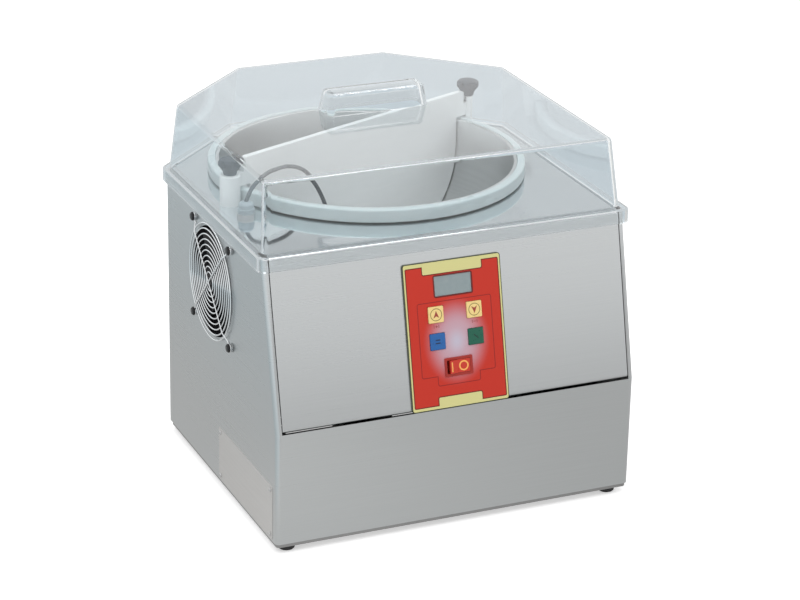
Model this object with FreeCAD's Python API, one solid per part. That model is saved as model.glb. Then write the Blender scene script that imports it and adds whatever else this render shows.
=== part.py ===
import FreeCAD, Part
import math
import os

# Chocolate tempering machine, in millimetres, +Z up, front towards -Y, +X to the right.
# The origin is on the floor, under the centre of the machine's outer box.

V = FreeCAD.Vector
UP = V(0, 0, 1)

# ---------------------------------------------------------------- driving dimensions
# Housing sheet metal
sheet = 1.2                   # stainless sheet
side_room = 31.0              # from the rim ring out to the side
front_room = 39.5             # from the top front edge back to the rim ring
rear_room = 9.0               # from the rim ring back to the rear face
corner_depth_share = 0.6121   # of the rim ring's radius: rear face behind the sides' edges
corner_width_share = 0.6485   # and what the cut corner takes of each half width
fold_rise = 119.0             # lower front panel, bottom edge to fold
panel_rise = 287.5            # housing, bottom edge to top edge
front_setback = 40.5          # how far the top front edge lies behind the lower front face
corner_radius = 5.0
seam_gap = 0.9                # visible gap round the slanted front panel
side_return = 6.0             # width of the side sheets' folded front edge
bolt_flange = 18.0            # flange behind each cut corner, which the rear panel screws to
fit_gap = 0.3                 # clearance between sheets that lie beside each other

# Feet and base tray
foot_height = 8.0
foot_radius = 9.0
foot_inset = 17.0             # foot centre in from the side of the housing
foot_front_inset = 16.0
foot_rear_inset = 40.0
tray_drop = 4.0               # tray's underside below the housing's bottom edge
tray_wall = 18.0

# Deck, the top plate
deck_thickness = 1.5
deck_inset = 4.5
deck_collar = 6.0             # collar drawn down round the bowl opening

# Lid
lid_wall = 3.0
lid_rise = 73.0               # roof above the deck
roof_front_inset = 13.5
roof_side_inset = 8.2
roof_corner_inset = 11.5
roof_rear_inset = 12.5
wall_front_inset = 1.5        # lid wall at its foot, in from the housing
wall_side_inset = 2.5
wall_corner_inset = 1.0
wall_rear_inset = 1.0
skirt_reach = 5.0             # skirt's outer face beyond the housing
skirt_front_reach = 7.7
skirt_drop = 12.0             # skirt below the deck's upper face
lid_seat_gap = 0.2
lid_corner_radius = 7.0
lid_edge_radius = 4.5
grip_length = 106.0
grip_depth = 25.0
grip_height = 22.0
grip_flare = 4.0              # how much wider the grip is at its foot, each side
grip_setback = 192.0          # grip centre behind the top front edge

# Bowl and its drive
bowl_radius = 153.0           # inside
bowl_sheet = 1.2
bowl_straight = 28.0          # straight wall below the rim
bowl_knuckle = 96.0           # radius of the curve into the bottom
knuckle_steps = 12            # turned facets that make up the curve
bowl_lip = 4.0                # rim turned outwards
rim_ring_width = 8.0
rim_ring_height = 14.0
rim_ring_proud = 0.8          # ring's top above the bowl's lip
ring_gap = 1.2                # ring above the deck
collar_gap = 2.5              # deck collar round the bowl
turntable_radius = 64.0
turntable_thickness = 5.0
turntable_hole = 9.0
turntable_hole_circle = 45.0
shaft_radius = 6.0
shaft_socket = 8.0            # shaft's depth in the gearbox
hub_radius = 16.0
hub_height = 14.0
bearing_outer = 14.0
bearing_width = 9.0
bearing_wall = 5.0
bearing_shim = 0.05           # running and seating clearance on radius
housing_height = 38.0
housing_flange = 34.0
housing_flange_thickness = 6.0

# Gearmotor and its bridge
bridge_sheet = 2.5
bridge_half_length = 128.0
bridge_depth = 150.0
bridge_height = 108.0
bridge_foot = 22.0
gearbox_radius = 32.0
gearbox_height = 34.0
motor_radius = 27.0
motor_height = 54.0
motor_slot_radius = 1.6
motor_slot_inset = 8.0
drive_bolt_depth = 8.0

# Heater
heater_radius = 109.0
heater_tube = 4.0
heater_drop = 15.0            # tube centre below the bowl's outer face above it
heater_gap_angle = 36.0
heater_leg = 26.0
clip_width = 10.0
clip_post_radius = 4.0

# Divider, its posts and knobs
divider_thickness = 6.0
divider_rise = 45.0           # divider's top above the deck
divider_rim_gap = 2.0
divider_bowl_gap = 1.5
left_post_gap = 1.4           # posts' clearance from the turning rim ring
right_post_gap = 0.6
left_post_angle = 196.65      # round the bowl axis, from +X
right_post_angle = 27.7
stud_radius = 2.5
post_left_radius = 10.5
post_left_height = 32.0
post_right_radius = 5.8
post_right_height = 38.5
stud_flange_radius = 5.5
tongue_depth = 6.0
tongue_rise = 14.0
knob_radius = 12.0
knob_height = 11.0
knob_neck = 5.0
knob_neck_radius = 6.5
knob_lobes = 6
knob_scallop = 4.0
knob_bore_gap = 0.05

# Temperature probe
socket_radius = 10.0
socket_height = 4.0
plug_radius = 8.6
plug_height = 12.0
probe_radius = 2.1
probe_tip_radius = 2.8
probe_tip_length = 26.0
probe_gap = 23.8              # probe's axis outside the rim ring
probe_angle = 208.12
# Route of the stiff stem from the plug over the rim, relative to the plug's top.
probe_route = [
    (0, 0, 0),
    (7.5, 3.5, 13),
    (25.5, 12, 21.5),
    (49.5, 23.5, 21),
    (71.5, 35, 12),
    (89.5, 44, -7),
    (103.5, 51, -33),
    (112.5, 55.5, -63),
    (116.5, 57.5, -90),
]

# Fan
fan_size = 119.0
fan_depth = 25.0
fan_bore = 57.5
fan_hole_pitch = 104.8
fan_y = 181.0                 # fan axis behind the lower front face
fan_top_gap = 14.5            # fan frame's top below the housing's top edge
fan_wall = 2.5
fan_hub_radius = 20.0
fan_blades = 7
blade_sweep = 26.0            # how far a blade leans round the hub over its depth
blade_thickness = 1.4
fan_tip_gap = 1.8
fan_pin_radius = 1.8
guard_wire = 0.8              # wire radius
guard_rings = 9
guard_ring_pitch = 5.6
guard_inner = 10.0
guard_stand = 2.6             # ring plane out from the panel
eyelet_radius = 5.0
fan_screw_radius = 2.1
fan_screw_head = 4.6

# Control panel, in the plane of the slanted front panel
panel_x = 1.0
fascia_width = 106.0
fascia_height = 149.0
fascia_thickness = 2.0
fascia_start = 0.8            # lower edge above the fold
cutout_margin = 8.0           # slanted sheet left under the fascia's sides and top
cutout_start = 24.0           # and under its lower end
window_width = 40.0
window_height = 20.0
window_centre = 124.2
window_glass = 1.2
key_size = 17.0
key_column = 20.8
key_row_top = 96.4
key_row_bottom = 69.2
key_gap = 0.3
key_proud = 1.2
key_flange = 1.2
key_travel = 0.8
key_stem_radius = 3.0
switch_size = 6.0
switch_height = 4.0
rocker_width = 28.0
rocker_height = 16.6
rocker_centre = 41.8
rocker_bezel = 1.4
rocker_depth = 20.0
rocker_tilt = 6.0             # the rocker rests tilted this far to its off side
rocker_pin_radius = 1.5
board_edge = 6.0              # board beyond its standoffs
board_thickness = 1.6
board_setback = 18.0          # board's face behind the slanted sheet
standoff_radius = 3.0
chip_size = 14.0
relay_size = 18.0
relay_depth = 15.0
relay_inset = 6.0             # from the board's top edge
relay_x = -21.0

# Rating plate on the left side
plate_length = 152.0
plate_height = 58.5
plate_thickness = 0.6
plate_front = 10.0            # behind the lower front face
plate_rise = 1.6
rivet_radius = 2.4
rivet_inset = 5.0

# Rear: vents, screws, mains inlet; inside: power supply
slot_length = 46.0
slot_width = 4.0
slot_pitch = 9.0
slot_count = 8
screw_radius = 2.0
screw_head = 3.6
screw_head_height = 2.0
screw_gap = 0.1
inlet_width = 27.5
inlet_height = 20.0
inlet_depth = 24.0
inlet_flange = 50.0
inlet_flange_height = 24.0
inlet_flange_thickness = 2.5
inlet_rise = 30.0
supply_length = 104.0
supply_depth = 74.0
transformer_size = 46.0
transformer_inset = 14.0
capacitor_radius = 9.0
capacitor_height = 30.0
capacitor_place = (80.0, 24.0)
terminal_size = (30.0, 14.0, 12.0)
terminal_place = (68.0, 44.0)
supply_standoff = 8.0

# ---------------------------------------------------------------- derived places
ring_outer = bowl_radius + bowl_lip + rim_ring_width
housing_half_width = ring_outer + side_room
corner_depth = ring_outer * corner_depth_share
corner_width = ring_outer * corner_width_share
fan_rise = panel_rise - fan_top_gap - fan_size / 2
bowl_setback = ring_outer + front_room
side_length = front_setback + bowl_setback + ring_outer + rear_room - corner_depth
slant_rise = panel_rise - fold_rise
slant_length = math.hypot(slant_rise, front_setback)
slant_angle = math.degrees(math.atan2(front_setback, slant_rise))
fascia_proud = (fascia_thickness * slant_rise - fascia_start * front_setback) / slant_length
front_y = (fascia_proud - side_length - corner_depth - skirt_reach) / 2
side_rear_y = front_y + side_length
rear_y = side_rear_y + corner_depth
deck_front_y = front_y + front_setback
panel_bottom = foot_height + tray_drop
fold_z = panel_bottom + fold_rise
top_z = panel_bottom + panel_rise
deck_z = top_z + deck_thickness
roof_z = deck_z + lid_rise
bowl_y = deck_front_y + bowl_setback
ring_bottom = deck_z + ring_gap
ring_top = ring_bottom + rim_ring_height
bowl_rim_z = ring_top - rim_ring_proud
bowl_floor_z = bowl_rim_z - bowl_straight - bowl_knuckle
turntable_top = bowl_floor_z - bowl_sheet
tray_floor = foot_height + sheet
bridge_top = tray_floor + bridge_height
corner_run = math.hypot(corner_depth, corner_width)
corner_normal = (corner_depth / corner_run, corner_width / corner_run)


def round_bowl(reach, angle):
    """A point on the deck at a distance from the bowl axis, at an angle from +X."""
    turn = math.radians(angle)
    return V(reach * math.cos(turn), bowl_y + reach * math.sin(turn), deck_z)


left_stud = round_bowl(ring_outer + left_post_gap + post_left_radius, left_post_angle)
right_stud = round_bowl(ring_outer + right_post_gap + post_right_radius, right_post_angle)
fan_axis_y = front_y + fan_y
fan_axis_z = panel_bottom + fan_rise


# ---------------------------------------------------------------- helpers
def box(x0, y0, z0, x1, y1, z1):
    return Part.makeBox(x1 - x0, y1 - y0, z1 - z0, V(x0, y0, z0))


def rod(radius, start, end):
    axis = end - start
    return Part.makeCylinder(radius, axis.Length, start, axis)


def fused(shapes):
    return shapes[0].multiFuse(shapes[1:]).removeSplitter() if len(shapes) > 1 else shapes[0]


def group(shapes):
    return Part.makeCompound(shapes)


def plan(front, side, corner, rear):
    """The housing's six-sided plan with each side moved outwards; front is a y value."""
    half = housing_half_width + side
    nx, ny = corner_normal
    reach = nx * housing_half_width + ny * side_rear_y + corner
    back = rear_y + rear
    side_end = (reach - nx * half) / ny
    rear_end = (reach - ny * back) / nx
    return [(-half, front), (half, front), (half, side_end),
            (rear_end, back), (-rear_end, back), (-half, side_end)]


def outline(points, radii, place):
    """A closed wire through 2D points with rounded corners; place turns (a, b) into a vector."""
    edges = []
    count = len(points)
    ends = []
    for i, (px, py) in enumerate(points):
        here = V(px, py, 0)
        before = V(*points[i - 1], 0) - here
        after = V(*points[(i + 1) % count], 0) - here
        radius = radii[i] if isinstance(radii, (list, tuple)) else radii
        if radius <= 0:
            ends.append((here, None, here))
            continue
        half_turn = before.getAngle(after) / 2
        cut = radius / math.tan(half_turn)
        start = here + before.normalize() * cut
        end = here + after.normalize() * cut
        middle_way = (before + after).normalize()
        centre = here + middle_way * (radius / math.sin(half_turn))
        ends.append((start, centre - middle_way * radius, end))
    for i in range(count):
        start, middle, end = ends[i]
        if middle is not None:
            edges.append(Part.Arc(place(start), place(middle), place(end)).toShape())
        following = ends[(i + 1) % count][0]
        if (following - end).Length > 1e-6:
            edges.append(Part.LineSegment(place(end), place(following)).toShape())
    return Part.Wire(edges)


def prism(points, radii, z0, z1):
    wire = outline(points, radii, lambda p: V(p.x, p.y, z0))
    return Part.Face(wire).extrude(V(0, 0, z1 - z0))


def folded_outline(path, thickness, bend):
    """Outline of a sheet folded along an open 2D path, the sheet lying to the path's left."""
    normals = []
    for (ax, ay), (bx, by) in zip(path, path[1:]):
        run = math.hypot(bx - ax, by - ay)
        normals.append((-(by - ay) / run, (bx - ax) / run))
    inner = [(path[0][0] + normals[0][0] * thickness, path[0][1] + normals[0][1] * thickness)]
    near, far = [0.0], [0.0]
    for i in range(1, len(path) - 1):
        (ax, ay), (bx, by) = normals[i - 1], normals[i]
        scale = thickness / (1 + ax * bx + ay * by)
        inner.append((path[i][0] + (ax + bx) * scale, path[i][1] + (ay + by) * scale))
        left_turn = ax * by - ay * bx > 0
        near.append(bend + thickness if left_turn else bend)
        far.append(bend if left_turn else bend + thickness)
    last = normals[-1]
    inner.append((path[-1][0] + last[0] * thickness, path[-1][1] + last[1] * thickness))
    near.append(0.0)
    far.append(0.0)
    return path + inner[::-1], near + far[::-1]


def revolved(profile, x, y):
    """A solid turned about the vertical through (x, y) from (radius, z) points or edges."""
    wire = Part.makePolygon([V(r, 0, z) for r, z in profile + profile[:1]])
    solid = Part.Face(wire).revolve(V(0, 0, 0), UP, 360)
    solid.translate(V(x, y, 0))
    return solid


def on_slant(shape):
    """Moves a shape drawn flat, x right, y up the panel, z outwards, onto the slanted front."""
    turned = shape.copy()
    turned.Placement = FreeCAD.Placement(
        V(panel_x, front_y, fold_z), FreeCAD.Rotation(V(1, 0, 0), 90 - slant_angle)
    ).multiply(turned.Placement)
    return turned


def many_sided(radius, start, end, sides=12, end_radius=None):
    """A plain many-sided rod or taper, for small parts that need no true curve."""
    axis = end - start
    turn = FreeCAD.Rotation(UP, axis)
    wires = []
    for place, size in ((start, radius), (end, end_radius or radius)):
        ring = [place + turn.multVec(V(size * math.cos(2 * math.pi * i / sides),
                                       size * math.sin(2 * math.pi * i / sides), 0))
                for i in range(sides)]
        wires.append(Part.makePolygon(ring + ring[:1]))
    return Part.makeLoft(wires, True, True)


def pan_screw(length, head=screw_head, height=screw_head_height, shank=screw_radius):
    """A pan-head screw with its head's seat at z = 0 and its shank down."""
    middle = V(0, 0, height / 2)
    return fused([many_sided(head, V(0, 0, 0), middle),
                  many_sided(head, middle, V(0, 0, height), 12, head - height / 2),
                  many_sided(shank, V(0, 0, -length), V(0, 0, 0))])


def set_on(shape, place, direction):
    """Turns a shape's +Z onto a direction and moves its origin to a place."""
    moved = shape.copy()
    moved.Placement = FreeCAD.Placement(place, FreeCAD.Rotation(UP, direction))
    return moved


# ---------------------------------------------------------------- housing
def side_profile(depth_in, height_in, rear):
    """Housing's outline seen from the side, as (y, z), drawn in by a sheet at the front."""
    slant_in = depth_in / math.cos(math.radians(slant_angle))
    slope = front_setback / slant_rise
    fold_in = fold_z + (slant_in - depth_in) / slope if depth_in else fold_z
    top = top_z - height_in
    top_front = front_y + slant_in + (top - fold_z) * slope
    bottom = panel_bottom - (10 if height_in < 0 else 0)
    return [(front_y + depth_in, bottom), (front_y + depth_in, fold_in), (top_front, top),
            (rear, top), (rear, bottom)]


def side_prism(half, profile):
    wire = Part.makePolygon([V(-half, y, z) for y, z in profile + profile[:1]])
    return Part.Face(wire).extrude(V(2 * half, 0, 0))


def corner_flange(inset, start, length):
    """Plan of a strip along the right cut corner: inset from its face, start and length along it."""
    nx, ny = corner_normal
    corner = V(housing_half_width, side_rear_y, 0) - V(nx, ny, 0) * inset
    along = V(-ny, nx, 0)
    inner = V(nx, ny, 0) * -sheet
    a = corner + along * start
    b = corner + along * (start + length)
    return [(p.x, p.y) for p in (a, b, b + inner, a + inner)]


def mirrored(points):
    return [(-x, y) for x, y in points][::-1]


def corner_screw_places():
    """Screws of the rear panel: (point on the face, outward normal)."""
    nx, ny = corner_normal
    along = V(-ny, nx, 0)
    places = []
    for height in (0.14, 0.5, 0.86):
        z = panel_bottom + panel_rise * height
        for flip in (1, -1):
            spot = V(housing_half_width, side_rear_y, z) + along * (bolt_flange / 2 + 2)
            places.append((V(flip * spot.x, spot.y, z), V(flip * nx, ny, 0)))
    return places


def body_wrap():
    """Both sides and the lower front, folded from one sheet."""
    outer = side_prism(housing_half_width, side_profile(0, 0, side_rear_y))
    edges = [e for e in outer.Edges
             if abs(abs(e.CenterOfMass.x) - housing_half_width) < 0.01
             and e.CenterOfMass.y < deck_front_y and e.Length < side_length
             and abs(e.CenterOfMass.z - panel_bottom) > 1 and abs(e.CenterOfMass.z - top_z) > 1]
    outer = outer.makeFillet(corner_radius, edges)
    inner = side_prism(housing_half_width - sheet, side_profile(sheet, -10, side_rear_y + 10))
    long_edges = [e for e in inner.Edges
                  if abs(abs(e.CenterOfMass.x) - housing_half_width + sheet) < 0.01
                  and e.CenterOfMass.y < deck_front_y + 5 and e.Length < side_length
                  and e.Vertexes[0].Point.z != e.Vertexes[1].Point.z]
    inner = inner.makeFillet(corner_radius - sheet, long_edges)
    shell = outer.cut(inner)
    half_opening = housing_half_width - side_return
    opening = on_slant(box(-half_opening - panel_x, 0, -3 * side_return,
                           half_opening - panel_x, slant_length * 1.1, 3 * side_return))
    shell = shell.cut(opening)
    flange = prism(corner_flange(sheet, 0.6, bolt_flange + 1), 0, panel_bottom, top_z)
    shell = shell.fuse([flange, flange.mirror(V(0, 0, 0), V(1, 0, 0))])
    for x in (1, -1):
        edge = sorted((x * (housing_half_width - sheet), x * (housing_half_width - 15)))
        shell = shell.fuse(box(edge[0], deck_front_y + 16, top_z - sheet, edge[1], side_rear_y,
                               top_z))
    shell = shell.cut(fan_opening())
    for place in rivet_places():
        shell = shell.cut(rod(rivet_radius / 2 + screw_gap, place - V(3, 0, 0), place + V(3, 0, 0)))
    for place, normal in corner_screw_places():
        shell = shell.cut(rod(screw_radius + screw_gap, place - normal * 6, place + normal * 6))
    return shell.removeSplitter()


def fan_opening():
    """What is cut from the left side for the fan: its throat and four screw holes."""
    wall = -housing_half_width
    cuts = [rod(fan_bore, V(wall - 5, fan_axis_y, fan_axis_z), V(wall + 5, fan_axis_y, fan_axis_z))]
    for place in fan_screw_places():
        cuts.append(rod(fan_screw_radius + screw_gap, place - V(5, 0, 0), place + V(5, 0, 0)))
    return group(cuts)


def fan_screw_places():
    half = fan_hole_pitch / 2
    return [V(-housing_half_width, fan_axis_y + a * half, fan_axis_z + b * half)
            for a in (-1, 1) for b in (-1, 1)]


def cutout_top():
    return fascia_start + fascia_height - cutout_margin


def upper_front_panel():
    """The slanted sheet, folded back at its top and turned in at the fold."""
    slope = math.radians(slant_angle)
    low = (front_y + seam_gap * math.sin(slope), fold_z + seam_gap * math.cos(slope))
    top = (deck_front_y, top_z)
    path = [(low[0] + 12, low[1]), low, top, (deck_front_y + 15, top_z)]
    points, radii = folded_outline(path[::-1], sheet, 2.0)
    half = housing_half_width - side_return - seam_gap
    wire = outline(points, radii, lambda p: V(-half, p.x, p.y))
    panel = Part.Face(wire).extrude(V(2 * half, 0, 0))
    half = fascia_width / 2 - cutout_margin
    window = on_slant(box(-half, fascia_start + cutout_start, -10, half, cutout_top(), 10))
    return panel.cut(window).removeSplitter()


def rear_panel():
    """Rear face and both cut corners, folded from one sheet, with slots and the inlet's cut-out."""
    nx, ny = corner_normal
    first = V(housing_half_width, side_rear_y, 0) + V(-ny, nx, 0) * 2.0
    corners = plan(front_y, 0, 0, 0)
    path = [(first.x, first.y), corners[3], corners[4], (-first.x, first.y)]
    points, radii = folded_outline(path, sheet, 2.0)
    panel = prism(points, radii, panel_bottom, top_z)
    lip = prism(plan(deck_front_y, -sheet / 2, -sheet / 2, -sheet / 2), [0, 0, 0, 2.5, 2.5, 0],
                top_z - sheet, top_z)
    lip = lip.cut(prism(plan(deck_front_y - 1, -15, -15, -15), 0, top_z - 2 * sheet, top_z + 1))
    lip = lip.cut(box(-2 * housing_half_width, front_y, top_z - 2 * sheet,
                      2 * housing_half_width, side_rear_y + 16, top_z + 1))
    panel = panel.fuse(lip)
    for i in range(slot_count):
        for x in (-0.6, 0.6):
            z = top_z - 70 - i * slot_pitch
            half = slot_length / 2
            mid = x * slot_length * 1.2
            slot = rod(slot_width / 2, V(mid - half, rear_y - 5, z), V(mid - half, rear_y + 5, z))
            slot = slot.fuse(rod(slot_width / 2, V(mid + half, rear_y - 5, z),
                                 V(mid + half, rear_y + 5, z)))
            slot = slot.fuse(box(mid - half, rear_y - 5, z - slot_width / 2,
                                 mid + half, rear_y + 5, z + slot_width / 2))
            panel = panel.cut(slot)
    x, z = inlet_place()
    panel = panel.cut(box(x - inlet_width / 2 - 0.3, rear_y - 5, z - inlet_height / 2 - 0.3,
                          x + inlet_width / 2 + 0.3, rear_y + 5, z + inlet_height / 2 + 0.3))
    for place in inlet_screw_places():
        panel = panel.cut(rod(screw_radius + screw_gap, place - V(0, 5, 0), place + V(0, 5, 0)))
    for place, normal in corner_screw_places():
        panel = panel.cut(rod(screw_radius + screw_gap, place - normal * 6, place + normal * 6))
    return panel.removeSplitter()


def inlet_place():
    return -corner_width / 3, panel_bottom + inlet_rise


def inlet_screw_places():
    x, z = inlet_place()
    return [V(x + side * 20.0, rear_y, z) for side in (-1, 1)]


def base_tray():
    """A folded pan inside the housing's lower edge; its underside shows below the front."""
    inset = sheet + fit_gap
    pan = prism(plan(front_y + inset, -inset, -2 * sheet - fit_gap, -inset), 4.0,
                foot_height, foot_height + tray_wall)
    inner = inset + sheet
    hollow = prism(plan(front_y + inner, -inner, -3 * sheet - fit_gap, -inner), 3.0,
                   tray_floor, foot_height + tray_wall + 1)
    pan = pan.cut(hollow)
    for x, y in foot_places():
        pan = pan.cut(Part.makeCylinder(screw_radius + screw_gap, 10, V(x, y, foot_height - 4)))
    for i in range(7):
        y = bowl_y - 60 + i * 20
        pan = pan.cut(box(-90, y, foot_height - 1, -35, y + 4, tray_floor + 1))
        pan = pan.cut(box(35, y, foot_height - 1, 90, y + 4, tray_floor + 1))
    return pan


def foot_places():
    x = housing_half_width - foot_inset
    rear = side_rear_y - foot_rear_inset
    return [(-x, front_y + foot_front_inset), (x, front_y + foot_front_inset), (-x, rear), (x, rear)]


def feet():
    """Rubber feet, turned, each with the shank of its own screw up through the tray."""
    made = []
    for x, y in foot_places():
        foot = revolved([(0, 0), (foot_radius - 1.5, 0), (foot_radius - 0.5, 1.0),
                         (foot_radius, foot_height), (0, foot_height)], x, y)
        pin = many_sided(screw_radius, V(x, y, foot_height - 0.5), V(x, y, foot_height + 5.5), 8)
        made.append(foot.fuse(pin))
    return group(made)


def top_plate():
    """The polished deck, with a collar drawn down round the bowl."""
    plate = prism(plan(deck_front_y + deck_inset, -deck_inset, -deck_inset, -deck_inset), 4.0,
                  top_z, deck_z)
    opening = bowl_radius + bowl_sheet + collar_gap
    collar = revolved([(opening, deck_z - deck_collar), (opening + deck_thickness,
                       deck_z - deck_collar), (opening + deck_thickness, deck_z),
                       (opening, deck_z)], 0, bowl_y)
    plate = plate.cut(Part.makeCylinder(opening, 10, V(0, bowl_y, top_z - 5))).fuse(collar)
    for stud in (left_stud, right_stud):
        plate = plate.cut(rod(stud_radius + screw_gap, stud - UP * 5, stud + UP * 5))
    spot = probe_spot()
    plate = plate.cut(rod(socket_radius / 2 + screw_gap, spot - UP * 5, spot + UP * 5))
    return plate.removeSplitter()


def case_screws():
    made = []
    for place, normal in corner_screw_places():
        made.append(set_on(pan_screw(5), place, normal))
    for place in inlet_screw_places():
        made.append(set_on(pan_screw(7), place + V(0, inlet_flange_thickness, 0), V(0, 1, 0)))
    return group(made)


# ---------------------------------------------------------------- lid
def loft(low_points, high_points, radius, z0, z1):
    low = outline(low_points, radius, lambda p: V(p.x, p.y, z0))
    high = outline(high_points, radius, lambda p: V(p.x, p.y, z1))
    return Part.makeLoft([low, high], True, True)


def lid_hollow(inset, z0, z1, radius, edge):
    """The lid's tapering cap from z0 to z1, its faces drawn in by inset from the outside."""
    foot_z = deck_z + lid_wall + lid_seat_gap

    def at(z):
        share = (z - foot_z) / (roof_z - foot_z)
        def between(a, b):
            return a + (b - a) * share + inset
        return plan(deck_front_y + between(wall_front_inset, roof_front_inset),
                    -between(wall_side_inset, roof_side_inset),
                    -between(wall_corner_inset, roof_corner_inset),
                    -between(wall_rear_inset, roof_rear_inset))

    cap = loft(at(z0), at(z1), radius, z0, z1)
    top = [e for e in cap.Edges if all(abs(v.Point.z - z1) < 0.01 for v in e.Vertexes)]
    return cap.makeFillet(edge, top)


def grip(inset, z0):
    """The hollow grip moulded up from the roof, drawn in by inset."""
    half_x = grip_length / 2 - inset
    half_y = grip_depth / 2 - inset
    y = deck_front_y + grip_setback
    top = roof_z + grip_height - inset

    def rectangle(spread):
        return [(-half_x - spread, y - half_y - spread), (half_x + spread, y - half_y - spread),
                (half_x + spread, y + half_y + spread), (-half_x - spread, y + half_y + spread)]

    body = loft(rectangle(grip_flare), rectangle(0), 6.0, z0, top)
    crown = [e for e in body.Edges if all(abs(v.Point.z - top) < 0.01 for v in e.Vertexes)]
    return body.makeFillet(4.0, crown)


def lid():
    """Clear cover: tapering cap, moulded grip, and a skirt that hangs round the deck's edge."""
    seat = deck_z + lid_seat_gap
    flange_top = seat + lid_wall
    skirt_bottom = deck_z - skirt_drop
    outer = lid_hollow(0, flange_top - 1, roof_z, lid_corner_radius, lid_edge_radius)
    inner = lid_hollow(lid_wall, flange_top - lid_wall - 2, roof_z - lid_wall,
                       lid_corner_radius - 2, lid_edge_radius - 2)
    skirt = prism(plan(deck_front_y - skirt_front_reach, skirt_reach, skirt_reach, skirt_reach),
                  9.0, skirt_bottom, flange_top)
    rounded = [e for e in skirt.Edges
               if all(abs(v.Point.z - flange_top) < 0.01 for v in e.Vertexes)]
    skirt = skirt.makeFillet(lid_wall - 0.5, rounded)
    reach = skirt_reach - lid_wall
    under = prism(plan(deck_front_y - skirt_front_reach + lid_wall, reach, reach, reach),
                  6.0, skirt_bottom - 1, seat)
    cover = outer.fuse([skirt, grip(0, roof_z - lid_wall - 0.5)])
    cover = cover.cut(inner.fuse([under, grip(lid_wall, roof_z - lid_wall - 1)]))
    return cover.removeSplitter()


# ---------------------------------------------------------------- bowl and drive
def bowl_volume(offset, top):
    """The solid inside the bowl's wall moved by offset, up to the height top."""
    centre_r = bowl_radius - bowl_knuckle
    centre_z = bowl_rim_z - bowl_straight
    radius = bowl_knuckle + offset
    curve = []
    for i in range(knuckle_steps + 1):
        turn = math.pi / 2 * i / knuckle_steps
        curve.append((centre_r + radius * math.cos(turn), centre_z - radius * math.sin(turn)))
    return revolved([(0, top), (bowl_radius + offset, top)] + curve
                    + [(0, centre_z - radius)], 0, bowl_y)


def bowl():
    """Spun stainless bowl: straight wall, deep curve, flat bottom and a lip turned outwards."""
    shell = bowl_volume(bowl_sheet, bowl_rim_z).cut(bowl_volume(0, bowl_rim_z + 1))
    lip_radius = bowl_radius + bowl_lip
    lip = revolved([(bowl_radius + 0.2, bowl_rim_z - bowl_sheet), (lip_radius, bowl_rim_z
                    - bowl_sheet), (lip_radius, bowl_rim_z), (bowl_radius, bowl_rim_z)], 0, bowl_y)
    return shell.fuse(lip).removeSplitter()


def bowl_rim_ring():
    """Translucent plastic ring round the rim: it hides the opening and carries the lip."""
    inner = bowl_radius + bowl_sheet + fit_gap / 3
    lip = bowl_radius + bowl_lip + fit_gap / 3
    outer = ring_outer
    seat = bowl_rim_z - bowl_sheet
    return revolved([(inner, ring_bottom), (outer - 0.8, ring_bottom), (outer, ring_bottom + 0.8),
                     (outer, ring_top - 1.8), (outer - 1.2, ring_top), (lip + 0.6, ring_top),
                     (lip, ring_top - 0.6), (lip, seat), (inner, seat)], 0, bowl_y)


def turntable():
    """Aluminium plate that carries the bowl: raised rim, hub and drive pins."""
    top = turntable_top
    under = top - turntable_thickness
    hub_end = under - hub_height
    bore = shaft_radius + bearing_shim
    disc = revolved([(bore, hub_end), (hub_radius, hub_end), (hub_radius, under - 4),
                     (hub_radius + 5, under), (turntable_radius, under), (turntable_radius,
                     top), (bore, top)], 0, bowl_y)
    for i in range(6):
        angle = math.radians(60 * i + 30)
        spot = V(turntable_hole_circle * math.cos(angle),
                 bowl_y + turntable_hole_circle * math.sin(angle), under - 1)
        disc = disc.cut(Part.makeCylinder(turntable_hole, turntable_thickness + 2, spot))
    return disc


def drive_shaft():
    """Steel shaft from the gearbox up through both bearings into the turntable's hub."""
    low = bridge_top - bridge_sheet - shaft_socket
    shaft = Part.makeCylinder(shaft_radius, turntable_top - low, V(0, bowl_y, low))
    return shaft


def bearing_levels():
    base = bridge_top + 3.0
    return [base, bridge_top + housing_height - 3.0 - bearing_width]


def bearing_housing():
    """Flanged cast housing on the bridge, bored for two ball bearings."""
    top = bridge_top + housing_height
    outer = bearing_outer + bearing_wall
    body = revolved([(shaft_radius + 2, bridge_top), (housing_flange, bridge_top),
                     (housing_flange, bridge_top + housing_flange_thickness),
                     (outer + 5, bridge_top + housing_flange_thickness),
                     (outer, bridge_top + housing_flange_thickness + 8),
                     (outer, top), (shaft_radius + 2, top)], 0, bowl_y)
    low, high = bearing_levels()
    bore = bearing_outer + bearing_shim
    body = body.cut(Part.makeCylinder(bore, low + bearing_width - bridge_top + 1,
                                      V(0, bowl_y, bridge_top - 1)))
    body = body.cut(Part.makeCylinder(bore, top - high + 1, V(0, bowl_y, high)))
    for place in flange_bolt_places():
        body = body.cut(rod(screw_radius + screw_gap, place - UP * 2, place + UP * 12))
    return body


def flange_bolt_places():
    return [V(29 * math.cos(math.radians(a)), bowl_y + 29 * math.sin(math.radians(a)), bridge_top)
            for a in (45, 135, 225, 315)]


def ball_bearings():
    """Two sealed ball bearings."""
    made = []
    for z in bearing_levels():
        inner = shaft_radius + bearing_shim
        made.append(revolved([(inner, z), (bearing_outer, z), (bearing_outer, z + bearing_width),
                              (inner, z + bearing_width)], 0, bowl_y))
    return group(made)


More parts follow.
